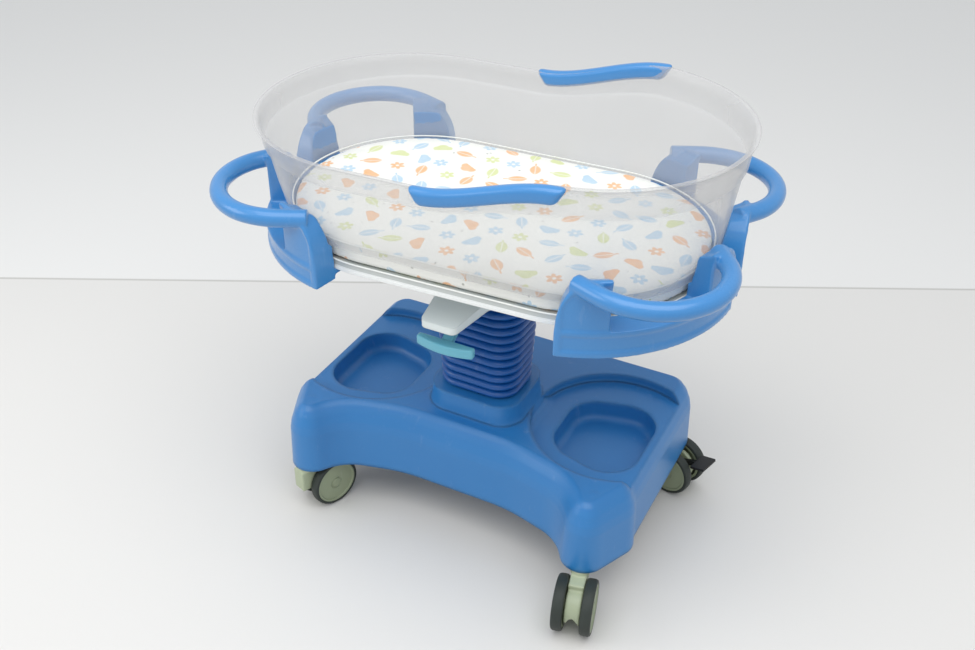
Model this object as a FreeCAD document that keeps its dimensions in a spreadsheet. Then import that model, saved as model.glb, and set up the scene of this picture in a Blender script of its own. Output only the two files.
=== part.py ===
import FreeCAD, Part
import math
import os
import re
from types import SimpleNamespace

import Sketcher

# Hospital bassinet: a frosted tub on a tilting bed, carried by a gas-spring column on a wheeled base.
# The origin is on the floor under the middle of the bed. X runs along the bed, Y across it, Z up.
# Lengths are in mm, angles in degrees. The column stands column_offset to the left of the origin,
# and the base and the lift stand turned by base_turn under the bed.

SIZES = {
    # twin-wheel swivel casters
    "wheel_radius": 50,
    "wheel_width": 20,
    "tyre_depth": 6.5,
    "tyre_edge_radius": 2,
    "axle_radius": 5,
    "axle_cover": 3.5,
    "hub_bore_wall": 7,
    "hub_web": 5,
    "hub_rim": 5,
    "caster_body_width": 28,
    "caster_body_radius": 34,
    "caster_trail": 44,
    "caster_neck_radius": 20,
    "caster_neck_height": 7.5,
    "caster_neck_top": 102,
    "caster_x": 288,
    "caster_front_y": 200,
    "caster_back_y": 203,
    "stem_radius": 6,
    "stem_depth": 20,
    "stem_collar_radius": 12,
    "heading_front_left": 70,
    "heading_front_right": -77,
    "heading_back_left": 141,
    "heading_back_right": -15,
    # brake pedals
    "pedal_pivot_x": 65,
    "pedal_pivot_z": 66,
    "pedal_pin_radius": 3,
    "pedal_arm_width": 10,
    "pedal_arm_height": 9,
    "pedal_tread_x": 105,
    "pedal_tread_z": 82,
    "pedal_tread_length": 30,
    "pedal_tread_width": 44,
    "pedal_tread_thickness": 5,
    "pedal_slope": 14,
    "pedal_arm_lean": 23,
    "pedal_slot_depth": 22,
    "pedal_slot_shift": 4,
    # base cover
    "column_offset": 18,
    "base_turn": 2.7,
    "cover_bottom": 103,
    "cover_top": 240,
    "cover_wall": 4,
    "cover_front": 134,
    "cover_back": 250,
    "cover_end": 345,
    "cover_level": 110,
    "cover_level_radius": 300,
    "cover_bend_x": 226,
    "cover_bend_y": 164,
    "cover_bend_radius": 95,
    "cover_nose_x": 288,
    "cover_nose_y": 268,
    "cover_nose_radius": 42,
    "cover_cheek_x": 356,
    "cover_cheek_y": 120,
    "cover_cheek_radius": 42,
    "cover_notch_y": 95,
    "cover_notch_radius": 40,
    "cover_corner_radius": 54,
    "saucer_x": 250,
    "saucer_y": 27,
    "saucer_radius": 155,
    "saucer_drop": 18,
    "tray_y": 14,
    "tray_inner_x": 153,
    "tray_outer_x": 318,
    "tray_inner_half": 75,
    "tray_outer_half": 118,
    "tray_corner_radius": 60,
    "tray_floor_radius": 14,
    "tray_depth": 40,
    "collar_half_x": 90,
    "collar_half_y": 79,
    "collar_corner": 44,
    "collar_height": 42,
    "collar_lip": 14,
    "collar_flare_x": 26,
    "collar_flare_y": 12,
    "collar_opening_x": 58,
    "collar_opening_y": 47,
    "post_radius": 7,
    "post_front_y": 165,
    "post_back_y": 158,
    "screw_radius": 2.5,
    "screw_head_radius": 5,
    "screw_head_height": 3,
    "screw_grip": 14,
    # steel frame in the base
    "beam_bottom": 118,
    "beam_height": 24,
    "beam_width": 74,
    "cross_beam_width": 32,
    "cross_beam_end": 12,
    # column
    "flange_length": 140,
    "flange_width": 90,
    "flange_thickness": 6,
    "outer_tube_radius": 40,
    "inner_tube_radius": 30,
    "tube_wall": 3,
    "outer_tube_height": 320,
    "bush_depth": 26,
    "bush_lip": 3,
    "guide_ring_height": 18,
    "guide_ring_gap": 17,
    "gas_radius": 14,
    "gas_wall": 1.5,
    "gas_length": 262,
    "gas_cap": 9,
    "piston_height": 12,
    "piston_rest": 35,
    "rod_radius": 5,
    "rod_end": 1.2,
    "release_pin_radius": 2,
    "release_pin_length": 42,
    "release_pin_reach": 6.5,
    "bolt_radius": 4,
    "bolt_head_radius": 6.5,
    "bolt_head_height": 5,
    "bolt_spacing_x": 116,
    "bolt_spacing_y": 50,
    # bellows
    "bellows_half_x": 78,
    "bellows_half_y": 62.5,
    "bellows_corner": 43,
    "bellows_spread": 10,
    "bellows_fold": 12,
    "bellows_rings": 12,
    "bellows_wall": 2,
    # top plate, release housing and height lever
    "top_plate_top": 495,
    "top_plate_thickness": 6,
    "top_plate_half_x": 60,
    "top_plate_half_y": 50,
    "boss_radius": 28,
    "boss_height": 22,
    "spigot_radius": 22,
    "spigot_height": 13,
    "boss_bore": 17,
    "boss_slot": 18,
    "swivel_ring_height": 3,
    "housing_top": 516,
    "housing_wall": 3,
    "housing_nose_drop": 7,
    "housing_nose_y": 186,
    "housing_nose_half": 32,
    "housing_nose_corner": 12,
    "housing_neck_half": 48,
    "housing_neck_y": 84,
    "housing_back_half": 90,
    "housing_front_y": 58,
    "housing_back_y": 74,
    "lever_pivot_y": 42,
    "lever_pivot_height": 11,
    "lever_pin_radius": 2.5,
    "lever_lug": 5,
    "lever_lug_width": 12.5,
    "lever_lug_height": 17.5,
    "lever_arm_width": 14,
    "lever_arm_thickness": 6,
    "lever_arm_end": 62,
    "lever_arm_overlap": 12,
    "lever_stem_width": 20,
    "lever_stem_thickness": 9,
    "lever_bar_y": 158,
    "lever_bar_z": 449,
    "lever_bar_half": 54,
    "lever_bar_back": 7,
    "lever_bar_front": 15,
    "lever_bar_end": 5,
    "lever_bar_height": 19,
    "lever_bar_edge": 4,
    # tilt joint
    "yoke_length": 110,
    "yoke_width": 76,
    "yoke_plate": 6,
    "yoke_ear_radius": 18,
    "yoke_ear_y": 32,
    "yoke_ear_thickness": 5,
    "tilt_z": 552,
    "tilt_pin_radius": 6,
    "tilt_pin_head": 3,
    "tilt_pin_head_radius": 9,
    "washer_radius": 13,
    "washer_thickness": 2.4,
    "bracket_cheek": 5,
    "bracket_cheek_radius": 20,
    "bracket_length": 130,
    "bracket_width": 110,
    "bracket_plate": 6,
    "support_length": 500,
    "support_width": 160,
    "support_thickness": 6,
    "support_corner": 20,
    # bed
    "arc_centre": 149,
    "platform_radius": 219,
    "platform_bottom": 590,
    "platform_thickness": 16,
    "platform_bead": 1.5,
    "platform_bead_height": 5,
    "mattress_radius": 221,
    "mattress_thickness": 42,
    "mattress_edge_radius": 13,
    # tub
    "tub_bottom": 636.4,
    "tub_wall": 3,
    "tub_bottom_radius": 227,
    "tub_rim_radius": 252,
    "tub_left_reach": 172,
    "tub_right_shoulder": 153,
    "tub_right_reach": 162,
    "rim_low": 794,
    "rim_high": 838,
    "rim_step_start": -26,
    "rim_step_end": 200,
    "grip_over": 5,
    "grip_depth": 22,
    "grip_out": 14,
    "grip_in": 8,
    "grip_end_slant": 12,
    "grip_edge_radius": 6,
    # corner handles
    "handle_bottom": 560,
    "handle_band_top": 612,
    "handle_top": 700,
    "handle_inner_radius": 222.5,
    "handle_outer_radius": 268,
    "handle_wall": 5.5,
    "handle_span": 74,
    "handle_start": 4,
    "handle_panel_span": 17,
    "handle_side_wall": 1.3,
    "handle_hollow_share": 0.45,
    "handle_flange_bottom": 579,
    "handle_flange_radius": 185,
    "handle_bar_radius": 14,
    "handle_bar_z": 687,
    "handle_screw_ring": 203,
    # clearances
    "running_gap": 0.05,
    "joint_gap": 0.4,
    "wheel_gap": 1,
}

QUADRANTS = ((1, 1), (1, -1), (-1, -1), (-1, 1))
STRAIGHT = "rotation(vector(0; 0; 1); 0)"
TO_X = "rotation(vector(0; 1; 0); 90)"
TO_Y = "rotation(vector(1; 0; 0); -90)"
TO_MINUS_Y = "rotation(vector(1; 0; 0); 90)"
FULL_TURN = 360
QUARTER_TURN = 90
EXTRA = 5    # how far a cutting tool runs past the face that it opens
# Corners of a hand loop about the bed's arc centre: angle, radius, rounding
HANDLE_ROUTE = ((-69, 252, 0), (-60, 298, 57.6), (-42.5, 356, 62.4), (-13, 300, 24), (-6, 254, 0))

doc = FreeCAD.newDocument("bassinet")
sheet = doc.addObject("Spreadsheet::Sheet", "sizes")
for row, (alias, value) in enumerate(SIZES.items(), start=1):
    sheet.set("A%d" % row, alias)
    sheet.set("B%d" % row, str(value))
    sheet.setAlias("B%d" % row, alias)
doc.recompute()
mm = SimpleNamespace(**{alias: float(sheet.get(alias)) for alias in SIZES})
nodes = []


def vector(x, y, z=0.0):
    return FreeCAD.Vector(x, y, z)


def formula(text):
    """A formula of size names, each with the sheet's name in front."""
    def full_name(found):
        word = found.group()
        return "sizes." + word if word in SIZES else word
    return re.sub(r"[a-z_]+", full_name, str(text))


def placed(x=0, y=0, z=0, turn=STRAIGHT):
    """Formula of a placement: turned first, then moved."""
    return "placement(vector(%s; %s; %s); %s)" % (x, y, z, turn)


BASE_TURN = "rotation(vector(0; 0; 1); -base_turn)"
BASE_PLACE = placed("-column_offset", turn=BASE_TURN)
COLUMN_PLACE = placed("-column_offset")
BED_PLACE = placed()


def add(kind, place=None, **sizes):
    """A document object whose sizes and placement are formulas of the sheet's sizes."""
    item = doc.addObject(kind, kind.split("::")[1])
    for name, text in sizes.items():
        item.setExpression(name, formula(text))
    if place:
        item.setExpression("Placement", formula(place))
    return item


def block(length, width, height, x=0, y=0, z=0):
    """A box centred on x and y that stands on z."""
    place = placed("(%s) - (%s) / 2" % (x, length), "(%s) - (%s) / 2" % (y, width), z)
    return add("Part::Box", place, Length=length, Width=width, Height=height)


def disc(radius, height, x=0, y=0, z=0, turn=STRAIGHT):
    return add("Part::Cylinder", placed(x, y, z, turn), Radius=radius, Height=height)


def ring(outer, inner, height, x=0, y=0, z=0, turn=STRAIGHT):
    return cut(disc(outer, height, x, y, z, turn), disc(inner, height, x, y, z, turn))


def join(*items):
    item = add("Part::MultiFuse")
    item.Shapes = list(items)
    item.Refine = True
    return item


def cut(base, *tools):
    item = add("Part::Cut")
    item.Base = base
    item.Tool = join(*tools) if len(tools) > 1 else tools[0]
    return item


def common(*items):
    item = add("Part::MultiCommon")
    item.Shapes = list(items)
    return item


def formed(shape):
    """A form that the primitives don't cover, made from the same sizes."""
    item = doc.addObject("Part::Feature", "Form")
    item.Shape = shape
    return item


def mirrored(source, across):
    item = add("Part::Mirroring")
    item.Source = source
    item.Normal = across
    return item


def node(label, items, place=BED_PLACE):
    """One named piece, or one group of like fasteners."""
    piece = add("Part::Compound", place)
    piece.Links = items
    piece.Label = label
    nodes.append(piece)
    return piece


def body_node(label, body, place=BED_PLACE):
    body.setExpression("Placement", formula(place))
    body.Label = label
    nodes.append(body)
    return body


def origin_plane(body, role):
    return [feature for feature in body.Origin.OriginFeatures if feature.Role == role][0]


def sketch_on(body, role):
    sketch = body.newObject("Sketcher::SketchObject", "Profile")
    sketch.AttachmentSupport = [(origin_plane(body, role), "")]
    sketch.MapMode = "FlatFace"
    return sketch


def value_of(text):
    """The value of a formula of size names."""
    sheet.set("D1", "=" + str(text))
    sheet.recompute()
    return float(sheet.get("D1"))


def fix(sketch, kind, geometry, point, text):
    """Holds one point of a sketch at a formula's distance from the sketch's origin."""
    if str(text) == "0":
        axis = -2 if kind == "DistanceX" else -1
        sketch.addConstraint(Sketcher.Constraint("PointOnObject", geometry, point, axis))
        return
    index = sketch.addConstraint(Sketcher.Constraint(kind, -1, 1, geometry, point, value_of(text)))
    sketch.setExpression("Constraints[%d]" % index, formula(text))


def turned(corners):
    """A body of revolution about its Z axis, from the (radius, height) corners of its section."""
    body = doc.addObject("PartDesign::Body", "Turned")
    sketch = sketch_on(body, "XZ_Plane")
    points = [vector(value_of(radius), value_of(height)) for radius, height in corners]
    for index, start in enumerate(points):
        end = points[(index + 1) % len(points)]
        sketch.addGeometry(Part.LineSegment(start, end), False)
    for index in range(len(points)):
        following = (index + 1) % len(points)
        sketch.addConstraint(Sketcher.Constraint("Coincident", index, 2, following, 1))
    for index, (radius, height) in enumerate(corners):
        fix(sketch, "DistanceX", index, 1, radius)
        fix(sketch, "DistanceY", index, 1, height)
    revolution = body.newObject("PartDesign::Revolution", "Revolution")
    revolution.Profile = sketch
    revolution.ReferenceAxis = (sketch, ["V_Axis"])
    revolution.Angle = FULL_TURN
    return body


def stadium_sketch(body, radius):
    """A long outline with two round ends about the bed's two arc centres."""
    sketch = sketch_on(body, "XY_Plane")
    reach = value_of("arc_centre")
    size = value_of(radius)
    quarter = math.pi / 2
    up = vector(0, 0, 1)
    right = Part.ArcOfCircle(Part.Circle(vector(reach, 0), up, size), -quarter, quarter)
    left = Part.ArcOfCircle(Part.Circle(vector(-reach, 0), up, size), quarter, 3 * quarter)
    sketch.addGeometry(right, False)
    sketch.addGeometry(left, False)
    sketch.addGeometry(Part.LineSegment(vector(reach, size), vector(-reach, size)), False)
    sketch.addGeometry(Part.LineSegment(vector(-reach, -size), vector(reach, -size)), False)
    for ends in ((0, 2, 2, 1), (2, 2, 1, 1), (1, 2, 3, 1), (3, 2, 0, 1)):
        sketch.addConstraint(Sketcher.Constraint("Tangent", *ends))
    sketch.addConstraint(Sketcher.Constraint("PointOnObject", 0, 3, -1))
    sketch.addConstraint(Sketcher.Constraint("PointOnObject", 1, 3, -1))
    for text, constraint in (
        ("arc_centre", Sketcher.Constraint("DistanceX", -1, 1, 0, 3, reach)),
        ("arc_centre", Sketcher.Constraint("DistanceX", 1, 3, -1, 1, reach)),
        (radius, Sketcher.Constraint("Radius", 0, size)),
    ):
        index = sketch.addConstraint(constraint)
        sketch.setExpression("Constraints[%d]" % index, formula(text))
    return sketch


def pad(body, sketch, length):
    feature = body.newObject("PartDesign::Pad", "Pad")
    feature.Profile = sketch
    feature.setExpression("Length", formula(length))
    doc.recompute()
    return feature


def fillet(body, feature, radius, wanted):
    """Rounds the edges of a body's feature for which wanted(edge) holds."""
    names = ["Edge%d" % (index + 1) for index, edge in enumerate(feature.Shape.Edges) if wanted(edge)]
    rounding = body.newObject("PartDesign::Fillet", "Fillet")
    rounding.Base = (feature, names)
    rounding.setExpression("Radius", formula(radius))
    return rounding


def rounded_wire(corners, closed=True):
    """A wire through (point, radius) corners, with a tangent arc at each corner inside it."""
    count = len(corners)
    edges = []
    ends = []
    for index, (point, radius) in enumerate(corners):
        if not closed and index in (0, count - 1):
            ends.append((point, point))
            continue
        before = (corners[index - 1][0] - point).normalize()
        after = (corners[(index + 1) % count][0] - point).normalize()
        half = before.getAngle(after) / 2
        inward = (before + after).normalize()
        reach = radius / math.tan(half)
        centre = point + inward * (radius / math.sin(half))
        first = point + before * reach
        last = point + after * reach
        edges.append(Part.Arc(first, centre - inward * radius, last).toShape())
        ends.append((first, last))
    for index in range(count if closed else count - 1):
        start = ends[index][1]
        end = ends[(index + 1) % count][0]
        if (end - start).Length > 1e-6:
            edges.append(Part.LineSegment(start, end).toShape())
    return Part.Wire(Part.__sortEdges__(edges))


def rounded_rectangle(half_x, half_y, radius, z=0.0):
    corners = [(vector(half_x * side, half_y * way, z), radius) for side, way in QUADRANTS]
    return rounded_wire(corners)


def raised(wire, height):
    return Part.Face(wire).extrude(vector(0, 0, height))


def across(shape):
    """The same form on the other end of the base."""
    return shape.mirror(vector(0, 0, 0), vector(1, 0, 0))


def edges_at(shape, height):
    """Edges that lie flat at one height."""
    box = lambda edge: edge.BoundBox
    return [edge for edge in shape.Edges
            if abs(box(edge).ZMin - height) < 1e-4 and abs(box(edge).ZMax - height) < 1e-4]


# Levels that more than one piece shares
collar_top = mm.cover_top + mm.collar_height
beam_top = mm.beam_bottom + mm.beam_height
flange_top = beam_top + mm.flange_thickness
top_plate_bottom = mm.top_plate_top - mm.top_plate_thickness
deck = mm.cover_top - mm.saucer_drop
tray_floor = deck - mm.tray_depth
BEAM_TOP = "(beam_bottom + beam_height)"
FLANGE_TOP = "(beam_bottom + beam_height + flange_thickness)"
TUBE_TOP = "(beam_bottom + beam_height + flange_thickness + outer_tube_height)"
PLATE_BOTTOM = "(top_plate_top - top_plate_thickness)"
BOSS_TOP = "(top_plate_top + boss_height)"
YOKE_BOTTOM = "(top_plate_top + boss_height + 0.5 * joint_gap)"
PIVOT_Z = "(top_plate_top + lever_pivot_height)"


# Base cover: a shell with a hollow front, a saucer and a tray at each end and a collar round the column
DOME = ((0, SIZES["cover_top"] - SIZES["cover_bottom"]), (3, 54), (6, 38), (13, 20), (22, 7), (31, 0))    # inset, depth below the top


def cover_outline(inset, z):
    """A straight back and ends, and a hollow front between two rounded noses."""
    half = (
        (mm.cover_level, -mm.cover_front, mm.cover_level_radius),
        (mm.cover_bend_x, -mm.cover_bend_y, mm.cover_bend_radius),
        (mm.cover_nose_x, -mm.cover_nose_y, mm.cover_nose_radius),
        (mm.cover_cheek_x, -mm.cover_cheek_y, mm.cover_cheek_radius),
        (mm.cover_end, -mm.cover_notch_y, mm.cover_notch_radius),
        (mm.cover_end, mm.cover_back, mm.cover_corner_radius),
    )
    right = [(vector(x, y), radius) for x, y, radius in half]
    left = [(vector(-x, y), radius) for x, y, radius in reversed(half)]
    outline = rounded_wire(right + left)
    if inset:
        outline = outline.makeOffset2D(-inset)
    outline.translate(vector(0, 0, z))
    return outline


def cover_block(inset, sink):
    """The cover's body without its trays, grown inward by inset; sink lowers its bottom."""
    sections = []
    for index, (step, depth) in enumerate(DOME):
        level = mm.cover_top - depth
        sections.append(cover_outline(inset + step, level - (inset if index else sink)))
    blank = Part.makeLoft(sections, True, True)
    centre = vector(-mm.saucer_x, mm.saucer_y, deck - inset)
    saucer = Part.makeCylinder(mm.saucer_radius + inset, mm.saucer_drop + EXTRA, centre)
    return blank.cut([saucer, across(saucer)])


def tray(grow):
    """The space of the left tray, widening towards the end of the base."""
    outline = rounded_wire([
        (vector(-mm.tray_outer_x, mm.tray_y + mm.tray_outer_half), mm.tray_corner_radius),
        (vector(-mm.tray_inner_x, mm.tray_y + mm.tray_inner_half), mm.tray_corner_radius),
        (vector(-mm.tray_inner_x, mm.tray_y - mm.tray_inner_half), mm.tray_corner_radius),
        (vector(-mm.tray_outer_x, mm.tray_y - mm.tray_outer_half), mm.tray_corner_radius),
    ])
    face = Part.Face(outline)
    if grow:
        face = face.makeOffset2D(grow)
    bottom = tray_floor - grow
    face.translate(vector(0, 0, bottom))
    blank = face.extrude(vector(0, 0, deck - bottom + EXTRA))
    return blank.makeFillet(mm.tray_floor_radius + grow, edges_at(blank, bottom))


def collar(inset):
    """The collar's body: upright at the top, flared into the cover below."""
    top = collar_top - inset
    flare_top = collar_top - mm.collar_lip
    steps = 5
    sections = [rounded_rectangle(mm.collar_half_x - inset, mm.collar_half_y - inset,
                                  mm.collar_corner - inset, top)]
    for step in range(steps + 1):
        angle = math.radians(90 * step / steps)
        drop = math.sin(angle) * (flare_top - deck)
        spread_x = (1 - math.cos(angle)) * mm.collar_flare_x - inset
        spread_y = (1 - math.cos(angle)) * mm.collar_flare_y - inset
        sections.append(rounded_rectangle(mm.collar_half_x + spread_x, mm.collar_half_y + spread_y,
                                          mm.collar_corner + spread_y, flare_top - drop))
    return Part.makeLoft(sections, True, True)


def make_base_cover():
    outside = cover_block(0, 0).fuse(collar(0))
    inside = cover_block(mm.cover_wall, EXTRA)
    inside = inside.fuse(collar(mm.cover_wall))
    outside = outside.cut([tray(0), across(tray(0))])
    inside = inside.cut([tray(mm.cover_wall), across(tray(mm.cover_wall))])
    opening = raised(rounded_rectangle(mm.collar_opening_x, mm.collar_opening_y,
                                       mm.collar_opening_y - mm.cover_wall, tray_floor),
                     collar_top - tray_floor + EXTRA)
    shell = outside.cut([inside, opening])
    screw_hole = mm.screw_radius + mm.running_gap
    for post_y, roof in ((-mm.post_front_y, mm.cover_top), (mm.post_back_y, deck)):
        for side in (1, -1):
            foot = vector(mm.caster_x * side, post_y, beam_top)
            shell = shell.fuse(Part.makeCylinder(mm.post_radius, roof - mm.cover_wall / 2 - beam_top, foot))
            shell = shell.cut(Part.makeCylinder(screw_hole, mm.screw_grip + EXTRA, foot))
    node("base_cover", [formed(shell.removeSplitter())], BASE_PLACE)


# Steel frame under the cover, with the bolts and screws that hold the column and the cover to it
def make_base_frame():
    beam = block("2 * caster_x - cross_beam_width", "beam_width", "beam_height", z="beam_bottom")
    bolt_holes = []
    bolts = []
    flange_holes = []
    for side, way in QUADRANTS:
        x = "%d * bolt_spacing_x / 2" % side
        y = "%d * bolt_spacing_y / 2" % way
        bolt_holes.append(disc("bolt_radius + running_gap", "beam_height", x, y, "beam_bottom"))
        flange_holes.append(disc("bolt_radius + running_gap", "flange_thickness", x, y, BEAM_TOP))
        shank = disc("bolt_radius", "beam_height + flange_thickness", x, y, "beam_bottom")
        head = disc("bolt_head_radius", "bolt_head_height", x, y, FLANGE_TOP)
        bolts.append(join(shank, head))
    node("base_beam", [cut(beam, *bolt_holes)], BASE_PLACE)

    stem_height = "%s - (caster_neck_top - stem_depth)" % BEAM_TOP
    cross_beams = []
    stems = []
    screws = []
    for side in (1, -1):
        x = "%d * caster_x" % side
        holes = []
        ends = []
        for stem_y, screw_y in (("-caster_front_y", "-post_front_y"), ("caster_back_y", "post_back_y")):
            ends.append(disc("cross_beam_end", "beam_height", x, stem_y, "beam_bottom"))
            holes.append(disc("stem_radius", "beam_height", x, stem_y, "beam_bottom"))
            holes.append(disc("screw_radius + running_gap", "beam_height", x, screw_y, "beam_bottom"))
            stem = disc("stem_radius", stem_height, x, stem_y, "caster_neck_top - stem_depth")
            thrust = disc("stem_collar_radius", "beam_bottom - caster_neck_top - joint_gap", x, stem_y,
                          "caster_neck_top + joint_gap")
            stems.append(join(stem, thrust))
            shank = disc("screw_radius", "beam_height + screw_grip", x, screw_y, "beam_bottom")
            head = disc("screw_head_radius", "screw_head_height", x, screw_y,
                        "beam_bottom - screw_head_height")
            screws.append(join(shank, head))
        bar = block("cross_beam_width", "caster_front_y + caster_back_y", "beam_height", x=x,
                    y="(caster_back_y - caster_front_y) / 2", z="beam_bottom")
        cross_beams.append(cut(join(bar, *ends), *holes))
    node("cross_beams", cross_beams, BASE_PLACE)
    node("caster_stems", stems, BASE_PLACE)
    node("cover_screws", screws, BASE_PLACE)
    node("column_bolts", bolts, BASE_PLACE)

    flange = block("flange_length", "flange_width", "flange_thickness", z=BEAM_TOP)
    tube = ring("outer_tube_radius", "outer_tube_radius - tube_wall", "outer_tube_height", z=FLANGE_TOP)
    node("column_outer_tube", [join(cut(flange, *flange_holes), tube)], BASE_PLACE)


# Column: guide bush, gas spring and the inner tube that carries the bed
def make_column():
    bore = "inner_tube_radius + running_gap"
    tube_bore = "outer_tube_radius - tube_wall"
    bush = turned([
        (bore, "0"),
        (tube_bore, "0"),
        (tube_bore, "bush_depth"),
        ("outer_tube_radius", "bush_depth"),
        ("outer_tube_radius", "bush_depth + bush_lip"),
        (bore, "bush_depth + bush_lip"),
    ])
    body_node("column_bush", bush, placed("-column_offset", 0, TUBE_TOP + " - bush_depth", BASE_TURN))

    guide_bottom = FLANGE_TOP + " + guide_ring_gap"
    tube_length = "%s - %s" % (PLATE_BOTTOM, "(%s)" % guide_bottom)
    tube = ring("inner_tube_radius", "inner_tube_radius - tube_wall", tube_length, z=guide_bottom)
    node("column_inner_tube", [tube], BASE_PLACE)
    guide = ring("outer_tube_radius - tube_wall - running_gap", "inner_tube_radius",
                 "guide_ring_height", z=guide_bottom)
    node("guide_ring", [guide], BASE_PLACE)

    cylinder = cut(
        disc("gas_radius", "gas_length", z=FLANGE_TOP),
        disc("gas_radius - gas_wall", "gas_length - 2 * gas_cap", z=FLANGE_TOP + " + gas_cap"),
        disc("rod_radius + running_gap", "2 * gas_cap", z=FLANGE_TOP + " + gas_length - 1.5 * gas_cap"),
    )
    node("gas_spring_cylinder", [cylinder], BASE_PLACE)

    rod_bottom = FLANGE_TOP + " + piston_rest"
    rod_top = "(top_plate_top + rod_end)"
    rod = join(
        disc("rod_radius", "%s - (%s)" % (rod_top, rod_bottom), z=rod_bottom),
        disc("gas_radius - gas_wall - running_gap", "piston_height", z=rod_bottom),
    )
    pin_bore = disc("release_pin_radius + running_gap", "release_pin_length + rod_end",
                    z="top_plate_top - release_pin_length")
    node("gas_spring_rod", [cut(rod, pin_bore)], BASE_PLACE)
    pin_bottom = rod_top + " + release_pin_reach - release_pin_length"
    node("release_pin", [disc("release_pin_radius", "release_pin_length", z=pin_bottom)], BASE_PLACE)


# Bellows: folds of rounded rectangles, wider at the top
def bellows_skin(inset):
    bottom = collar_top
    height = mm.top_plate_top - mm.joint_gap - bottom
    folds = int(mm.bellows_rings) * 2
    sections = []
    for step in range(folds + 1):
        share = step / folds
        crease = 0 if step % 2 else mm.bellows_fold
        grow = mm.bellows_spread * share - crease - inset
        sections.append(rounded_rectangle(mm.bellows_half_x + grow, mm.bellows_half_y + grow,
                                          mm.bellows_corner + grow, bottom + height * share))
    return Part.makeLoft(sections, True, True)


def make_bellows():
    skin = bellows_skin(0).cut(bellows_skin(mm.bellows_wall))
    node("bellows", [formed(skin)], BASE_PLACE)


# Top plate with the swivel boss, and the ring that keeps the yoke on it
def make_top_plate():
    corner = mm.top_plate_half_y / 2
    plate = formed(raised(rounded_rectangle(mm.top_plate_half_x, mm.top_plate_half_y, corner,
                                            top_plate_bottom), mm.top_plate_thickness))
    boss = join(
        plate,
        disc("boss_radius", "boss_height", z="top_plate_top"),
        disc("spigot_radius", "boss_height + spigot_height", z="top_plate_top"),
    )
    lugs = []
    lug_x = "(lever_arm_width / 2 + joint_gap + lever_lug / 2)"
    for side in (1, -1):
        lugs.append(block("lever_lug", "lever_lug_width", "lever_lug_height",
                          "%d * %s" % (side, lug_x), "-lever_pivot_y", "top_plate_top"))
    body = cut(
        join(boss, *lugs),
        disc("boss_bore", "boss_height + spigot_height", z="top_plate_top"),
        disc("rod_radius", "top_plate_thickness", z=PLATE_BOTTOM),
        block("boss_slot", "boss_radius", "boss_height - joint_gap", y="-boss_radius / 2 - joint_gap",
              z="top_plate_top"),
        disc("lever_pin_radius", "4 * lever_arm_width", "-2 * lever_arm_width", "-lever_pivot_y",
             PIVOT_Z, TO_X),
    )
    node("top_plate", [body], BASE_PLACE)
    pin_length = "(lever_arm_width + 2 * lever_lug + 2 * joint_gap)"
    node("lever_pivot_pin", [disc("lever_pin_radius", pin_length, "-%s / 2" % pin_length,
                                  "-lever_pivot_y", PIVOT_Z, TO_X)], BASE_PLACE)
    keeper = ring("boss_radius", "spigot_radius", "swivel_ring_height",
                  z=YOKE_BOTTOM + " + yoke_plate + joint_gap")
    node("swivel_ring", [keeper], BASE_PLACE)


# Release housing: an open-bottomed cap over the column top with a long nose towards the front
def housing_body(inset):
    nose_corner = mm.housing_nose_corner - inset
    back_corner = mm.bellows_corner
    half_outline = [
        (mm.housing_nose_half - inset, inset - mm.housing_nose_y, nose_corner),
        (mm.housing_neck_half - inset, -mm.housing_neck_y, mm.boss_radius + inset),
        (mm.housing_back_half - inset, inset - mm.housing_front_y, mm.boss_radius - inset),
        (mm.housing_back_half - inset, mm.housing_back_y - inset, back_corner - inset),
    ]
    right = [(vector(x, y), radius) for x, y, radius in half_outline]
    left = [(vector(-x, y), radius) for x, y, radius in reversed(half_outline)]
    bottom = mm.top_plate_top + mm.joint_gap
    top = mm.housing_top - inset
    outline = rounded_wire(right + left)
    outline.translate(vector(0, 0, bottom))
    blank = raised(outline, top - bottom)
    reach = mm.housing_back_half + EXTRA
    nose_top = top - mm.housing_nose_drop
    roof_cut = Part.makePolygon([
        vector(-reach, -mm.housing_neck_y, top),
        vector(-reach, -mm.housing_nose_y - EXTRA, nose_top),
        vector(-reach, -mm.housing_nose_y - EXTRA, top + EXTRA),
        vector(-reach, -mm.housing_neck_y, top + EXTRA),
        vector(-reach, -mm.housing_neck_y, top),
    ])
    return blank.cut(Part.Face(roof_cut).extrude(vector(2 * reach, 0, 0)))


def make_lever_housing():
    shell = housing_body(0).cut(housing_body(mm.housing_wall))
    hole = disc("boss_radius + joint_gap", "housing_top", z="top_plate_top")
    node("lever_housing", [cut(formed(shell), hole)], BASE_PLACE)


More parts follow.
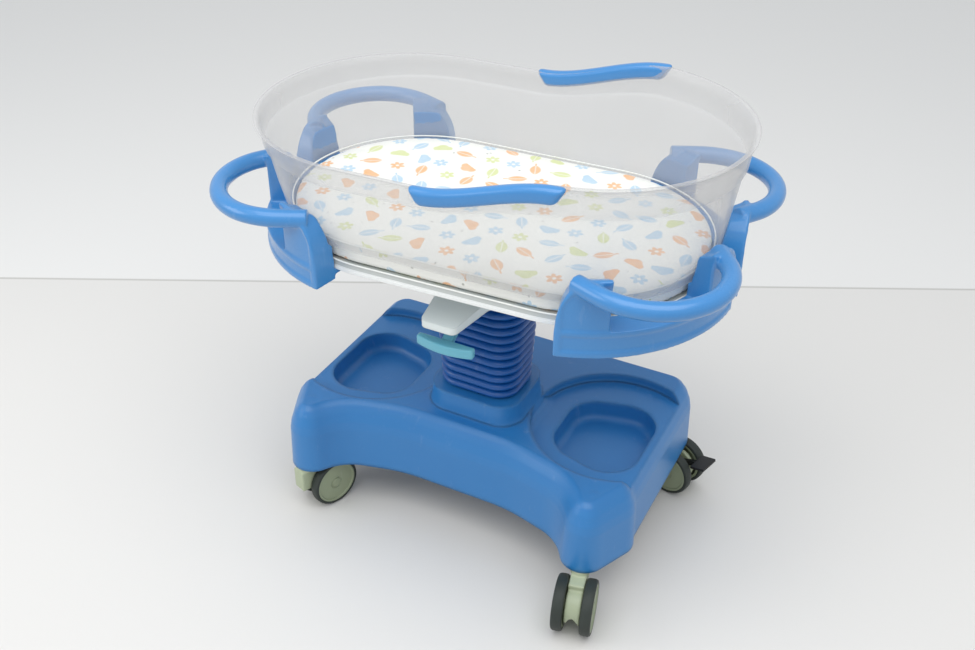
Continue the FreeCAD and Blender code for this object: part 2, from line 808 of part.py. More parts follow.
# Height lever: an arm that presses the release pin, a sloping stem and a T-bar for the hand
def make_release_lever():
    arm_z = mm.top_plate_top + mm.lever_pivot_height
    arm = block("lever_arm_width", "lever_arm_end + release_pin_radius + joint_gap", "lever_arm_thickness",
                y="(release_pin_radius + joint_gap - lever_arm_end) / 2",
                z=PIVOT_Z + " - lever_arm_thickness / 2")
    half_arm = mm.lever_arm_thickness / 2
    slope = math.atan2(arm_z - mm.lever_bar_z, mm.lever_bar_y - mm.lever_arm_end)
    drop = mm.lever_stem_thickness / math.cos(slope)
    start = mm.lever_arm_overlap - mm.lever_arm_end
    stem_profile = Part.makePolygon([
        vector(-mm.lever_stem_width / 2, start, arm_z - half_arm),
        vector(-mm.lever_stem_width / 2, start, arm_z + half_arm),
        vector(-mm.lever_stem_width / 2, -mm.lever_arm_end, arm_z + half_arm),
        vector(-mm.lever_stem_width / 2, -mm.lever_bar_y, mm.lever_bar_z + drop / 2),
        vector(-mm.lever_stem_width / 2, -mm.lever_bar_y, mm.lever_bar_z - drop / 2),
        vector(-mm.lever_stem_width / 2, start, arm_z - half_arm),
    ])
    stem = Part.Face(stem_profile).extrude(vector(mm.lever_stem_width, 0, 0))
    bottom = mm.lever_bar_z - mm.lever_bar_height / 2
    left_back = vector(-mm.lever_bar_half, mm.lever_bar_back - mm.lever_bar_y, bottom)
    right_back = vector(mm.lever_bar_half, mm.lever_bar_back - mm.lever_bar_y, bottom)
    left_front = vector(-mm.lever_bar_half, -mm.lever_bar_end - mm.lever_bar_y, bottom)
    right_front = vector(mm.lever_bar_half, -mm.lever_bar_end - mm.lever_bar_y, bottom)
    bow = vector(0, -mm.lever_bar_front - mm.lever_bar_y, bottom)
    outline = Part.Wire([
        Part.LineSegment(left_back, right_back).toShape(),
        Part.LineSegment(right_back, right_front).toShape(),
        Part.Arc(right_front, bow, left_front).toShape(),
        Part.LineSegment(left_front, left_back).toShape(),
    ])
    bar = raised(outline, mm.lever_bar_height)
    bar = bar.makeFillet(mm.lever_bar_edge, bar.Edges)
    bore = disc("lever_pin_radius + running_gap", "2 * lever_arm_width", "-lever_arm_width",
                "-lever_pivot_y", PIVOT_Z, TO_X)
    node("release_lever", [cut(join(arm, formed(stem), formed(bar)), bore)], BASE_PLACE)


# Tilt joint: a yoke that swivels on the boss, the pin, its washers and the bracket under the bed
def make_tilt_joint():
    ear_bottom = YOKE_BOTTOM + " + yoke_plate / 2"
    plate = cut(
        block("yoke_length", "yoke_width", "yoke_plate", z=YOKE_BOTTOM),
        disc("spigot_radius + running_gap", "yoke_plate", z=YOKE_BOTTOM),
    )
    ears = []
    washers = []
    cheeks = []
    washer_y = "(yoke_ear_y + yoke_ear_thickness / 2)"
    cheek_y = "(yoke_ear_y + yoke_ear_thickness / 2 + washer_thickness + joint_gap)"
    plate_bottom = "(platform_bottom - support_thickness - bracket_plate)"
    for side, turn in ((1, TO_Y), (-1, TO_MINUS_Y)):
        ear_y = "%d * (yoke_ear_y - yoke_ear_thickness / 2)" % side
        ears.append(disc("yoke_ear_radius", "yoke_ear_thickness", 0, ear_y, "tilt_z", turn))
        ears.append(block("2 * yoke_ear_radius", "yoke_ear_thickness", "tilt_z - (%s)" % ear_bottom,
                          y="%d * yoke_ear_y" % side, z=ear_bottom))
        washers.append(ring("washer_radius", "tilt_pin_radius", "washer_thickness", 0,
                            "%d * %s" % (side, washer_y), "tilt_z", turn))
        cheeks.append(disc("bracket_cheek_radius", "bracket_cheek", 0, "%d * %s" % (side, cheek_y),
                           "tilt_z", turn))
        cheeks.append(block("2 * bracket_cheek_radius", "bracket_cheek", plate_bottom + " - tilt_z",
                            y="%d * (%s + bracket_cheek / 2)" % (side, cheek_y), z="tilt_z"))
    pin_half = "(%s + bracket_cheek + joint_gap)" % cheek_y
    long_pin = disc("tilt_pin_radius", "2 * %s" % pin_half, 0, "-" + pin_half, "tilt_z", TO_Y)
    heads = [disc("tilt_pin_head_radius", "tilt_pin_head", 0, "%d * %s" % (side, pin_half), "tilt_z", turn)
             for side, turn in ((1, TO_Y), (-1, TO_MINUS_Y))]
    ear_bore = disc("tilt_pin_radius", "2 * yoke_width", 0, "-yoke_width", "tilt_z", TO_Y)
    cheek_bore = disc("tilt_pin_radius + running_gap", "2 * yoke_width", 0, "-yoke_width", "tilt_z", TO_Y)
    top = block("bracket_length", "bracket_width", "bracket_plate", z=plate_bottom)
    node("tilt_yoke", [cut(join(plate, *ears), ear_bore)], COLUMN_PLACE)
    node("tilt_washers", washers, COLUMN_PLACE)
    node("tilt_pin", [join(long_pin, *heads)], COLUMN_PLACE)
    node("tilt_bracket", [cut(join(top, *cheeks), cheek_bore)], COLUMN_PLACE)


# Bed: support plate, platform and mattress
def make_bed():
    support_bottom = mm.platform_bottom - mm.support_thickness
    support = raised(rounded_rectangle(mm.support_length / 2, mm.support_width / 2, mm.support_corner,
                                       support_bottom), mm.support_thickness)
    node("bed_support_plate", [formed(support)])

    platform = doc.addObject("PartDesign::Body", "Platform")
    board = pad(platform, stadium_sketch(platform, "platform_radius"), "platform_thickness")
    board = pad(platform, stadium_sketch(platform, "platform_radius + platform_bead"), "platform_bead_height")
    body_node("bed_platform", platform, placed(z="platform_bottom"))

    mattress = doc.addObject("PartDesign::Body", "Mattress")
    cushion = pad(mattress, stadium_sketch(mattress, "mattress_radius"), "mattress_thickness - joint_gap")
    flat = lambda edge: edge.BoundBox.ZLength < 1e-4
    fillet(mattress, cushion, "mattress_edge_radius", flat)
    body_node("mattress", mattress, placed(z="platform_bottom + platform_thickness + joint_gap"))


# Tub: a bottomless wall whose rim steps up towards the right end
def tub_outline(radius, left, right, z):
    edges = []
    for side, reach in ((1, right), (-1, left)):
        top = vector(reach * side, radius, z)
        tip = vector((reach + radius) * side, 0, z)
        bottom = vector(reach * side, -radius, z)
        edges.append(Part.Arc(top, tip, bottom).toShape())
    for way in (1, -1):
        edges.append(Part.LineSegment(vector(-left, radius * way, z), vector(right, radius * way, z)).toShape())
    return Part.Wire(Part.__sortEdges__(edges))


def tub_body(grow):
    """The space inside the tub's outer face, grown outward by grow."""
    return Part.makeLoft([
        tub_outline(mm.tub_bottom_radius + grow, mm.arc_centre, mm.arc_centre, mm.tub_bottom),
        tub_outline(mm.tub_rim_radius + grow, mm.tub_left_reach, mm.tub_right_shoulder, mm.rim_low),
        tub_outline(mm.tub_rim_radius + grow, mm.tub_left_reach, mm.tub_right_reach, mm.rim_high + EXTRA),
    ], True, True)


def rim_line(offset, extra_start=0.0, extra_end=0.0):
    """The rim seen from the front, raised by offset: level, two equal arcs up, level."""
    half_run = (mm.rim_step_end - mm.rim_step_start) / 2
    half_rise = (mm.rim_high - mm.rim_low) / 2
    radius = (half_run ** 2 + half_rise ** 2) / (2 * half_rise)
    quarter = math.atan(half_rise / half_run)
    along = radius * math.sin(quarter)
    up = radius * (1 - math.cos(quarter))
    low = vector(mm.rim_step_start, 0, mm.rim_low + offset)
    middle = vector(mm.rim_step_start + half_run, 0, mm.rim_low + half_rise + offset)
    high = vector(mm.rim_step_end, 0, mm.rim_high + offset)
    edges = [
        Part.Arc(low, low + vector(along, 0, up), middle).toShape(),
        Part.Arc(middle, high - vector(along, 0, up), high).toShape(),
    ]
    if extra_start:
        edges.insert(0, Part.LineSegment(low - vector(extra_start, 0, 0), low).toShape())
    if extra_end:
        edges.append(Part.LineSegment(high, high + vector(extra_end, 0, 0)).toShape())
    return edges


def above_rim():
    """Everything above the rim."""
    length = mm.tub_right_reach + 2 * mm.tub_rim_radius
    edges = rim_line(0, length, length)
    start = edges[0].Vertexes[0].Point
    end = edges[-1].Vertexes[-1].Point
    roof = mm.rim_high + 4 * EXTRA
    far = vector(end.x, 0, roof)
    near = vector(start.x, 0, roof)
    edges += [
        Part.LineSegment(end, far).toShape(),
        Part.LineSegment(far, near).toShape(),
        Part.LineSegment(near, start).toShape(),
    ]
    face = Part.Face(Part.Wire(edges))
    face.translate(vector(0, -length, 0))
    return face.extrude(vector(0, 2 * length, 0))


def make_tub():
    inside = tub_body(-mm.tub_wall)
    below = Part.makeBox(4 * mm.tub_rim_radius, 4 * mm.tub_rim_radius, EXTRA,
                         vector(-2 * mm.tub_rim_radius, -2 * mm.tub_rim_radius, mm.tub_bottom - EXTRA))
    wall = tub_body(0).cut([inside, above_rim(), below])
    node("tub", [formed(wall)])

    for label, way in (("grip_front", -1), ("grip_back", 1)):
        slant = mm.grip_end_slant
        top = rim_line(mm.grip_over, slant, slant)
        bottom = rim_line(mm.grip_over - mm.grip_depth)
        ends = [
            Part.LineSegment(top[0].Vertexes[0].Point, bottom[0].Vertexes[0].Point).toShape(),
            Part.LineSegment(top[-1].Vertexes[-1].Point, bottom[-1].Vertexes[-1].Point).toShape(),
        ]
        face = Part.Face(Part.Wire(Part.__sortEdges__(top + bottom + ends)))
        outer_y = (mm.tub_rim_radius + mm.grip_out - mm.tub_wall) * way
        inner_y = (mm.tub_rim_radius - mm.grip_in - mm.tub_wall) * way
        face.translate(vector(0, inner_y, 0))
        grip = face.extrude(vector(0, outer_y - inner_y, 0))
        long_edges = [edge for edge in grip.Edges if edge.BoundBox.YLength < 1e-4]
        grip = grip.makeFillet(mm.grip_edge_radius, long_edges)
        node(label, [formed(grip.cut(wall))])


# Corner handles: a hollow moulding round each corner of the platform, with a loop for the hand
def sector(outer, inner, bottom, top, start, span):
    """Part of a ring about the right arc centre, from start degrees towards the front."""
    centre = vector(mm.arc_centre, 0, bottom)
    along = vector(0, 0, 1)
    height = top - bottom
    whole = Part.makeCylinder(outer, height, centre, along, span)
    whole = whole.cut(Part.makeCylinder(inner, height, centre, along, FULL_TURN))
    whole.rotate(centre, along, -start - span)
    return whole


def handle_bar():
    """The hand loop's bar: out of one panel, round the corner and back into the other."""
    corners = []
    for angle, radius, rounding in HANDLE_ROUTE:
        x = mm.arc_centre + radius * math.cos(math.radians(angle))
        y = radius * math.sin(math.radians(angle))
        corners.append((vector(x, y, mm.handle_bar_z), rounding))
    path = rounded_wire(corners, closed=False)
    start = path.OrderedVertexes[0].Point
    first = path.OrderedEdges[0]
    heading = first.tangentAt(first.FirstParameter)
    section = Part.Wire(Part.makeCircle(mm.handle_bar_radius, start, heading))
    return path.makePipeShell([section], True, False)


def handle_shape(tub_space):
    """A front right handle, clear of the tub's space."""
    start = mm.handle_start
    span = mm.handle_span
    band = sector(mm.handle_outer_radius, mm.handle_inner_radius, mm.handle_bottom, mm.handle_band_top,
                  start, span)
    flange = sector(mm.handle_inner_radius + mm.handle_wall, mm.handle_flange_radius,
                    mm.handle_flange_bottom, mm.platform_bottom, start, span)
    panel_starts = (start, start + span - mm.handle_panel_span)
    hollow = mm.handle_inner_radius + mm.handle_hollow_share * (mm.handle_outer_radius - mm.handle_inner_radius)
    panels = [sector(mm.handle_outer_radius, mm.handle_inner_radius, mm.handle_bottom, mm.handle_top,
                     angle, mm.handle_panel_span) for angle in panel_starts]
    shape = band.fuse(panels + [handle_bar()])
    side = mm.handle_side_wall
    hollows = [sector(mm.handle_outer_radius - mm.handle_wall, mm.handle_inner_radius + mm.handle_wall,
                      mm.handle_bottom - EXTRA, mm.handle_band_top - mm.handle_wall,
                      start + side, span - 2 * side)]
    for angle in panel_starts:
        hollows.append(sector(mm.handle_outer_radius - mm.handle_wall, hollow,
                              mm.handle_bottom - EXTRA, mm.handle_bar_z - mm.handle_bar_radius,
                              angle + side, mm.handle_panel_span - 2 * side))
    shape = shape.cut(hollows).fuse(flange)
    shape = shape.cut(tub_space)
    ledge = sector(mm.handle_outer_radius, 1, mm.tub_bottom - mm.joint_gap, mm.tub_bottom + EXTRA, 0,
                   QUARTER_TURN)
    tub_foot = raised(tub_outline(mm.tub_bottom_radius + mm.joint_gap, mm.arc_centre, mm.arc_centre,
                                  mm.tub_bottom - mm.joint_gap), 2 * mm.joint_gap)
    shape = shape.cut(tub_foot.common(ledge))
    for angle in screw_angles():
        shape = shape.cut(Part.makeCylinder(mm.screw_radius, mm.platform_bottom, screw_foot(angle, 0)))
    return shape


def screw_angles():
    third = mm.handle_span / 3
    return [-mm.handle_start - third * (step + 0.5) for step in range(3)]


def screw_foot(angle, z):
    x = mm.arc_centre + mm.handle_screw_ring * math.cos(math.radians(angle))
    return vector(x, mm.handle_screw_ring * math.sin(math.radians(angle)), z)


def make_corner_handles():
    tub_space = tub_body(mm.joint_gap)
    front_right = formed(handle_shape(tub_space))
    # the tub leans out further on the left, so that handle is cut with the mirrored space, then mirrored
    front_left = mirrored(formed(handle_shape(tub_space.mirror(vector(0, 0), vector(1, 0, 0)))), vector(1, 0, 0))
    node("corner_handle_fr", [front_right])
    node("corner_handle_fl", [front_left])
    node("corner_handle_br", [mirrored(front_right, vector(0, 1, 0))])
    node("corner_handle_bl", [mirrored(front_left, vector(0, 1, 0))])
    screws = []
    head_bottom = mm.handle_flange_bottom - mm.screw_head_height
    for angle in screw_angles():
        head = Part.makeCylinder(mm.screw_head_radius, mm.screw_head_height, screw_foot(angle, head_bottom))
        shank = Part.makeCylinder(mm.screw_radius, mm.platform_bottom - mm.handle_flange_bottom,
                                  screw_foot(angle, mm.handle_flange_bottom))
        for side, way in QUADRANTS:
            flip = FreeCAD.Matrix()
            flip.scale(vector(side, way, 1))
            screws.append(formed(head.fuse(shank).transformGeometry(flip)))
    node("handle_screws", screws)


# Casters: a housing on a swivel stem, an axle, and a hub with its tyre on each side
def make_casters():
    hub_radius = "(wheel_radius - tyre_depth)"
    hub = turned([
        ("0", "wheel_width - axle_cover"),
        ("axle_radius + running_gap", "wheel_width - axle_cover"),
        ("axle_radius + running_gap", "0"),
        ("axle_radius + hub_bore_wall", "0"),
        ("axle_radius + hub_bore_wall", "wheel_width - hub_web"),
        (hub_radius + " - hub_rim", "wheel_width - hub_web"),
        (hub_radius + " - hub_rim", "0"),
        (hub_radius, "0"),
        (hub_radius, "wheel_width"),
        ("0", "wheel_width"),
    ])
    tyre = turned([
        (hub_radius, "0"),
        ("wheel_radius - tyre_edge_radius", "0"),
        ("wheel_radius", "tyre_edge_radius"),
        ("wheel_radius", "wheel_width - tyre_edge_radius"),
        ("wheel_radius - tyre_edge_radius", "wheel_width"),
        (hub_radius, "wheel_width"),
    ])
    half_body = "(caster_body_width / 2)"
    axle_half = "(caster_body_width / 2 + wheel_gap + wheel_width - axle_cover - joint_gap)"
    round_body = disc("caster_body_radius", "caster_body_width", "caster_trail", "-" + half_body,
                      "wheel_radius", TO_Y)
    shoulder_height = "caster_neck_top - caster_neck_height - wheel_radius"
    shoulder = block("caster_trail + caster_neck_radius", "caster_body_width", shoulder_height,
                     "(caster_trail - caster_neck_radius) / 2", 0, "wheel_radius")
    neck = disc("caster_neck_radius", "caster_neck_height", 0, 0, "caster_neck_top - caster_neck_height")
    stem_bore = disc("stem_radius + running_gap", "stem_depth + joint_gap", 0, 0,
                     "caster_neck_top - stem_depth - joint_gap")
    axle_bore = disc("axle_radius", "caster_body_width", "caster_trail", "-" + half_body,
                     "wheel_radius", TO_Y)
    plain_housing = cut(join(round_body, shoulder, neck), stem_bore, axle_bore)
    slot_x = "(pedal_tread_x + pedal_pivot_x - pedal_slot_depth) / 2 + pedal_slot_shift"
    pedal_slot = block("pedal_tread_x - pedal_pivot_x + pedal_slot_depth", "pedal_arm_width + 2 * joint_gap",
                       "2 * caster_body_radius", slot_x, 0, "pedal_pivot_z - pedal_arm_height")
    pin_half = "(caster_body_width / 2 - joint_gap)"
    pedal_bore = disc("pedal_pin_radius + running_gap", "caster_body_width", "pedal_pivot_x",
                      "-" + half_body, "pedal_pivot_z", TO_Y)
    braked_housing = cut(plain_housing, pedal_slot, pedal_bore)
    axle = disc("axle_radius", "2 * " + axle_half, "caster_trail", "-" + axle_half, "wheel_radius", TO_Y)

    lean = "rotation(vector(0; 1; 0); -pedal_slope)"
    arm = add("Part::Box", placed("pedal_pivot_x - pedal_arm_height / 2", "-pedal_arm_width / 2",
                                  "pedal_pivot_z - pedal_arm_height / 2",
                                  "rotation(vector(0; 1; 0); -pedal_arm_lean)"),
              Length="pedal_tread_x - pedal_pivot_x", Width="pedal_arm_width", Height="pedal_arm_height")
    tread = add("Part::Box", placed("pedal_tread_x - pedal_tread_length / 2", "-pedal_tread_width / 2",
                                    "pedal_tread_z - pedal_tread_thickness / 2", lean),
                Length="pedal_tread_length", Width="pedal_tread_width", Height="pedal_tread_thickness")
    pedal_pin = disc("pedal_pin_radius", "2 * " + pin_half, "pedal_pivot_x", "-" + pin_half,
                     "pedal_pivot_z", TO_Y)
    pedal = join(arm, tread, pedal_pin)

    for name, x, y, heading, braked in (
        ("fl", "-caster_x", "-caster_front_y", "heading_front_left", False),
        ("fr", "caster_x", "-caster_front_y", "heading_front_right", False),
        ("bl", "-caster_x", "caster_back_y", "heading_back_left", True),
        ("br", "caster_x", "caster_back_y", "heading_back_right", True),
    ):
        corner = placed(x, y, 0, "rotation(vector(0; 0; 1); %s)" % heading)
        place = "%s * %s" % (BASE_PLACE, corner)
        node("caster_housing_" + name, [braked_housing if braked else plain_housing], place)
        node("caster_axle_" + name, [axle], place)
        if braked:
            node("brake_pedal_" + name, [pedal], place)
        for letter, wheel_side, turn in (("a", 1, TO_Y), ("b", -1, TO_MINUS_Y)):
            wheel_y = "%d * (caster_body_width / 2 + wheel_gap)" % wheel_side
            wheel_place = "%s * %s" % (place, placed("caster_trail", wheel_y, "wheel_radius", turn))
            node("hub_%s_%s" % (name, letter), [hub], wheel_place)
            node("tyre_%s_%s" % (name, letter), [tyre], wheel_place)


make_base_cover()
make_base_frame()
make_column()
make_bellows()
make_top_plate()
make_lever_housing()
make_release_lever()
make_tilt_joint()
make_bed()
make_tub()
make_corner_handles()
make_casters()
doc.recompute()

for item in doc.Objects:
    if "Invalid" in item.State or "Error" in item.State:
        raise RuntimeError("%s failed: %s" % (item.Label, item.State))
for piece in nodes:
    if piece.Shape.isNull() or not piece.Shape.isValid() or not piece.Shape.Solids:
        raise RuntimeError("%s has no valid solid" % piece.Label)

os.makedirs("parts", exist_ok=True)
for piece in nodes:
    piece.Shape.exportStep("parts/%s.step" % piece.Label)
    box = piece.Shape.BoundBox
    print("%-22s %2d solids  x %7.1f %7.1f  y %7.1f %7.1f  z %6.1f %6.1f  %9.1f cm3" % (
        piece.Label, len(piece.Shape.Solids), box.XMin, box.XMax, box.YMin, box.YMax, box.ZMin, box.ZMax,
        piece.Shape.Volume / 1000))
print(len(nodes), "nodes")
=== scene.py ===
import bpy
import bmesh
import math
from mathutils import Matrix, Vector


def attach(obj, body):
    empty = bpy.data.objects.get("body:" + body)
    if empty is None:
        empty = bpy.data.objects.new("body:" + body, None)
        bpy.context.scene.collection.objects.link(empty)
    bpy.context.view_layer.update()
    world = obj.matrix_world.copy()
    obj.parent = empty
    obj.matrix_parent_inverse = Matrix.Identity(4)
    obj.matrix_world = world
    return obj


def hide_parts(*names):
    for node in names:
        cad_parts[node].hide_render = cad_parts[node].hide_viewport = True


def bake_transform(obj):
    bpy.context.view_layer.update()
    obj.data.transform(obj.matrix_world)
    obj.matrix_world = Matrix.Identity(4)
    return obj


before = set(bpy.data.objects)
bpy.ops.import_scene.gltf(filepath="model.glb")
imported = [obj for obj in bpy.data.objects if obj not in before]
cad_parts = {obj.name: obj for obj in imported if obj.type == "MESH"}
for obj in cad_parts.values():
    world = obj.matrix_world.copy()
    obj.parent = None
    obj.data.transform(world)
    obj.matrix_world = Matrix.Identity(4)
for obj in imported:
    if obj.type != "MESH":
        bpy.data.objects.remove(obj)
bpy.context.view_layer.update()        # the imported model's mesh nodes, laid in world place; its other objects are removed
scene = bpy.context.scene
zAxis = Vector((0, 0, 1))
columnX = -0.018        # the column stands a little to the left of the bed's middle
baseTurn = -2.7        # degrees by which base and column are turned under the bed
basePlace = Matrix.Translation((columnX, 0, 0)) @ Matrix.Rotation(math.radians(baseTurn), 4, "Z")
print("frame loaded")

# ---------- camera, light and floor ----------
camera = {
    "azimuth": 23.93, "elevation": 34.12, "roll": 0.68,
    "distance": 2.076, "aim": (columnX, 0, 0.3972), "lens": 42.06,
}
studio = {
    # creaseShade: a darker line painted along the edge where the floor meets the far wall, painted shade in
    # that corner
    "floor": (226, 224, 220), "far": (232, 231, 228), "creaseShade": (178, 176, 170), "edge": 0.783,
    "sky": 0.74, "skyTint": (0.93, 0.96, 1, 1), "aim": (0, 0, 0.4),
}
lamps = {        # power, size and place
    "ceilingLight": (54, (3.4, 2.4), (0.3, -0.9, 2.9)),
    "sideLight": (15, (1.6, 1.2), (-2.3, -1.7, 1.7)),
}


def rgb(red, green, blue):        # a colour as a screen shows it, made linear
    levels = (red, green, blue)
    return tuple(((c / 255 + 0.055) / 1.055) ** 2.4 if c > 10 else c / 3294.6 for c in levels) + (1,)


def placeCamera():
    turn, lift = math.radians(camera["azimuth"]), math.radians(camera["elevation"])
    back = Vector((math.sin(turn) * math.cos(lift), -math.cos(turn) * math.cos(lift), math.sin(lift)))
    right = Vector((math.cos(turn), math.sin(turn), 0))
    up = back.cross(right)
    roll = math.radians(camera["roll"])
    rolledRight = right * math.cos(roll) + up * math.sin(roll)
    rolledUp = up * math.cos(roll) - right * math.sin(roll)
    eye = bpy.data.objects.new("camera", bpy.data.cameras.new("camera"))
    eye.data.lens, eye.data.sensor_width = camera["lens"], 36
    eye.data.clip_start, eye.data.clip_end = 0.05, 60
    pose = Matrix((rolledRight, rolledUp, back)).transposed().to_4x4()
    pose.translation = Vector(camera["aim"]) + back * camera["distance"]
    eye.matrix_world = pose
    scene.collection.objects.link(eye)
    scene.camera = eye
    return back


viewBack = placeCamera()
scene.view_settings.view_transform = "Standard"


class Link:        # an output socket on which sums are written as plain expressions
    def __init__(self, look, socket):
        self.look, self.socket = look, socket

    def work(self, operation, *values):
        return self.look.node("Math", {"operation": operation}, dict(enumerate(values)))

    def __add__(self, other):
        return self.work("ADD", self, other)

    def __radd__(self, other):
        return self.work("ADD", other, self)

    def __sub__(self, other):
        return self.work("SUBTRACT", self, other)

    def __rsub__(self, other):
        return self.work("SUBTRACT", other, self)

    def __mul__(self, other):
        return self.work("MULTIPLY", self, other)

    def __rmul__(self, other):
        return self.work("MULTIPLY", other, self)

    def __truediv__(self, other):
        return self.work("DIVIDE", self, other)

    def __pow__(self, other):
        return self.work("POWER", self, other)

    def __abs__(self):
        return self.work("ABSOLUTE", self)

    def over(self, other):
        return self.work("GREATER_THAN", self, other)

    def under(self, other):
        return self.work("LESS_THAN", self, other)

    def held(self):        # kept between 0 and 1
        return self.work("MINIMUM", self.work("MAXIMUM", self, 0), 1)


class Look:        # a material's nodes
    def __init__(self, name):
        self.material = bpy.data.materials.new(name)
        self.material.use_nodes = True
        self.tree = self.material.node_tree
        self.shader = self.tree.nodes["Principled BSDF"]
        self.place = self.node("TexCoord", output="Object")

    def node(self, kind, settings=None, sockets=None, output=0):
        made = self.tree.nodes.new("ShaderNode" + kind)
        for name, value in (settings or {}).items():
            if name == "stops":
                ramp = made.color_ramp.elements
                while len(ramp) < len(value):
                    ramp.new(0.5)
                for stop, (spot, colour) in zip(ramp, value):
                    stop.position, stop.color = spot, colour
            else:
                setattr(made, name, value)
        for name, value in (sockets or {}).items():
            self.feed(made.inputs[name], value)
        return Link(self, made.outputs[output])

    def feed(self, socket, value):
        if isinstance(value, Link):
            self.tree.links.new(value.socket, socket)
        else:
            socket.default_value = value

    def set(self, **values):        # sockets of the shader, written as baseColor=...
        names = {"baseColor": "Base Color", "roughness": "Roughness", "metallic": "Metallic",
                 "normal": "Normal", "alpha": "Alpha", "coat": "Coat Weight",
                 "coatRoughness": "Coat Roughness", "sheen": "Sheen Weight",
                 "sheenRoughness": "Sheen Roughness", "specular": "Specular IOR Level"}
        for name, value in values.items():
            self.feed(self.shader.inputs[names[name]], value)

    def noise(self, scale, detail=3, place=None, roughness=0.55):
        return self.node("TexNoise", {}, {"Vector": place or self.place, "Scale": scale, "Detail": detail,
                                          "Roughness": roughness})

    def mix(self, share, first, second):
        return self.node("Mix", {"data_type": "RGBA"}, {0: share, 6: first, 7: second}, output=2)

    def stretched(self, x, y, z):
        return self.node("Mapping", {}, {"Vector": self.place, "Scale": (x, y, z)})

    def parts(self, vector):
        made = self.tree.nodes.new("ShaderNodeSeparateXYZ")
        self.feed(made.inputs[0], vector)
        return [Link(self, made.outputs[i]) for i in range(3)]

    def relief(self, height, distance, strength=1.0, edge=0.0):
        sockets = {"Height": height, "Distance": distance, "Strength": strength}
        if edge:
            sockets["Normal"] = self.node("Bevel", {"samples": 6}, {"Radius": edge})
        return self.node("Bump", {}, sockets)


def makeFloor():
    bm = bmesh.new()
    bmesh.ops.create_grid(bm, x_segments=1, y_segments=1, size=9)
    mesh = bpy.data.meshes.new("floor")
    bm.to_mesh(mesh)
    bm.free()
    floor = bpy.data.objects.new("floor", mesh)
    scene.collection.objects.link(floor)
    look = Look("floorVinyl")
    x, y, z = look.parts(look.place)
    ahead = -viewBack.to_2d().normalized()
    depth = x * ahead.x + y * ahead.y
    far = ((depth - studio["edge"]) * 400).held()
    # line: a thin darker band along that edge, painted shade where the floor meets the wall
    line = (1 - abs(depth - studio["edge"]) * 160).held()
    speckle = look.noise(240, 2)
    colour = look.mix(speckle * 0.05, rgb(*studio["floor"]), rgb(190, 188, 184))
    colour = look.mix(far, colour, rgb(*studio["far"]))
    colour = look.mix(line * 0.8, colour, rgb(*studio["creaseShade"]))
    look.set(baseColor=colour, roughness=0.55 + look.noise(3, 2) * 0.1,
             normal=look.relief(speckle, 0.0004, 0.2))
    mesh.materials.append(look.material)


def makeLights():
    for name, (power, size, spot) in lamps.items():
        lamp = bpy.data.lights.new(name, "AREA")
        lamp.shape, lamp.size, lamp.size_y, lamp.energy = "RECTANGLE", size[0], size[1], power
        item = bpy.data.objects.new(name, lamp)
        item.location = spot
        item.rotation_mode = "QUATERNION"
        item.rotation_quaternion = (Vector(spot) - Vector(studio["aim"])).to_track_quat("Z", "Y")
        scene.collection.objects.link(item)
    world = bpy.data.worlds.new("studio")
    scene.world = world
    world.use_nodes = True
    tree = world.node_tree
    tree.nodes.clear()
    path = tree.nodes.new("ShaderNodeLightPath")
    seen = tree.nodes.new("ShaderNodeMath")
    seen.operation = "MAXIMUM"
    tree.links.new(path.outputs["Is Camera Ray"], seen.inputs[0])
    tree.links.new(path.outputs["Is Transmission Ray"], seen.inputs[1])
    light, backdrop = (tree.nodes.new("ShaderNodeBackground") for _ in range(2))
    light.inputs[0].default_value = studio["skyTint"]
    light.inputs[1].default_value = studio["sky"]
    backdrop.inputs[0].default_value = rgb(*studio["far"])
    choice = tree.nodes.new("ShaderNodeMixShader")
    tree.links.new(seen.outputs[0], choice.inputs[0])
    tree.links.new(light.outputs[0], choice.inputs[1])
    tree.links.new(backdrop.outputs[0], choice.inputs[2])
    ending = tree.nodes.new("ShaderNodeOutputWorld")
    tree.links.new(choice.outputs[0], ending.inputs[0])


makeFloor()
makeLights()
print("camera, floor and light ready")


# ---------- finishes ----------
tub = {        # its finish follows its shape, so its sizes come first
    "bottom": 0.6364, "low": 0.7925, "high": 0.8405, "stepStart": -0.026, "stepEnd": 0.200, "centre": 0.149,
    "right": 0.0135, "left": 0.024, "foot": 0.227, "rim": 0.2525, "wall": 0.003, "shoulder": 0.745,
    "lip": 0.0052, "clearance": 0.0012,
    "milk": (206, 205, 204), "milkDeep": (196, 195, 195), "veil": 0.25,
}


def moulded(name, colour, deep, roughness=0.36, coat=0.15, grain=1400, edge=0.0025, mottle=7):
    # injection-moulded plastic: clouded colour, fine orange peel, rubbed and dusty patches
    look = Look(name)
    cloud = look.noise(mottle, 4)
    rubbed = ((look.noise(38, 5, look.stretched(1, 1, 0.3), 0.7) - 0.62) * 5).held()
    dust = ((look.noise(260, 2) - 0.66) * 6).held()
    tone = look.mix((cloud - 0.3) * 0.8, rgb(*deep), rgb(*colour))
    tone = look.mix(rubbed * 0.10 + dust * 0.05, tone, (0.8, 0.83, 0.86, 1))
    peel = look.noise(grain, 2)
    look.set(baseColor=tone, roughness=roughness + rubbed * 0.15 + (peel - 0.5) * 0.06, coat=coat,
             coatRoughness=0.22, normal=look.relief(peel + cloud * 0.4, 0.00012, 0.5, edge))
    return look.material


def metal(name, colour, roughness, brushed, edge=0.0006):
    look = Look(name)
    lines = look.noise(300, 4, look.stretched(*brushed))
    stain = look.noise(12, 4)
    tone = look.mix(stain * 0.35, rgb(*colour), rgb(*(int(c * 0.72) for c in colour)))
    look.set(baseColor=tone, metallic=1.0, roughness=roughness + (lines - 0.5) * 0.25 + stain * 0.08,
             normal=look.relief(lines, 0.00006, 0.4, edge))
    return look.material


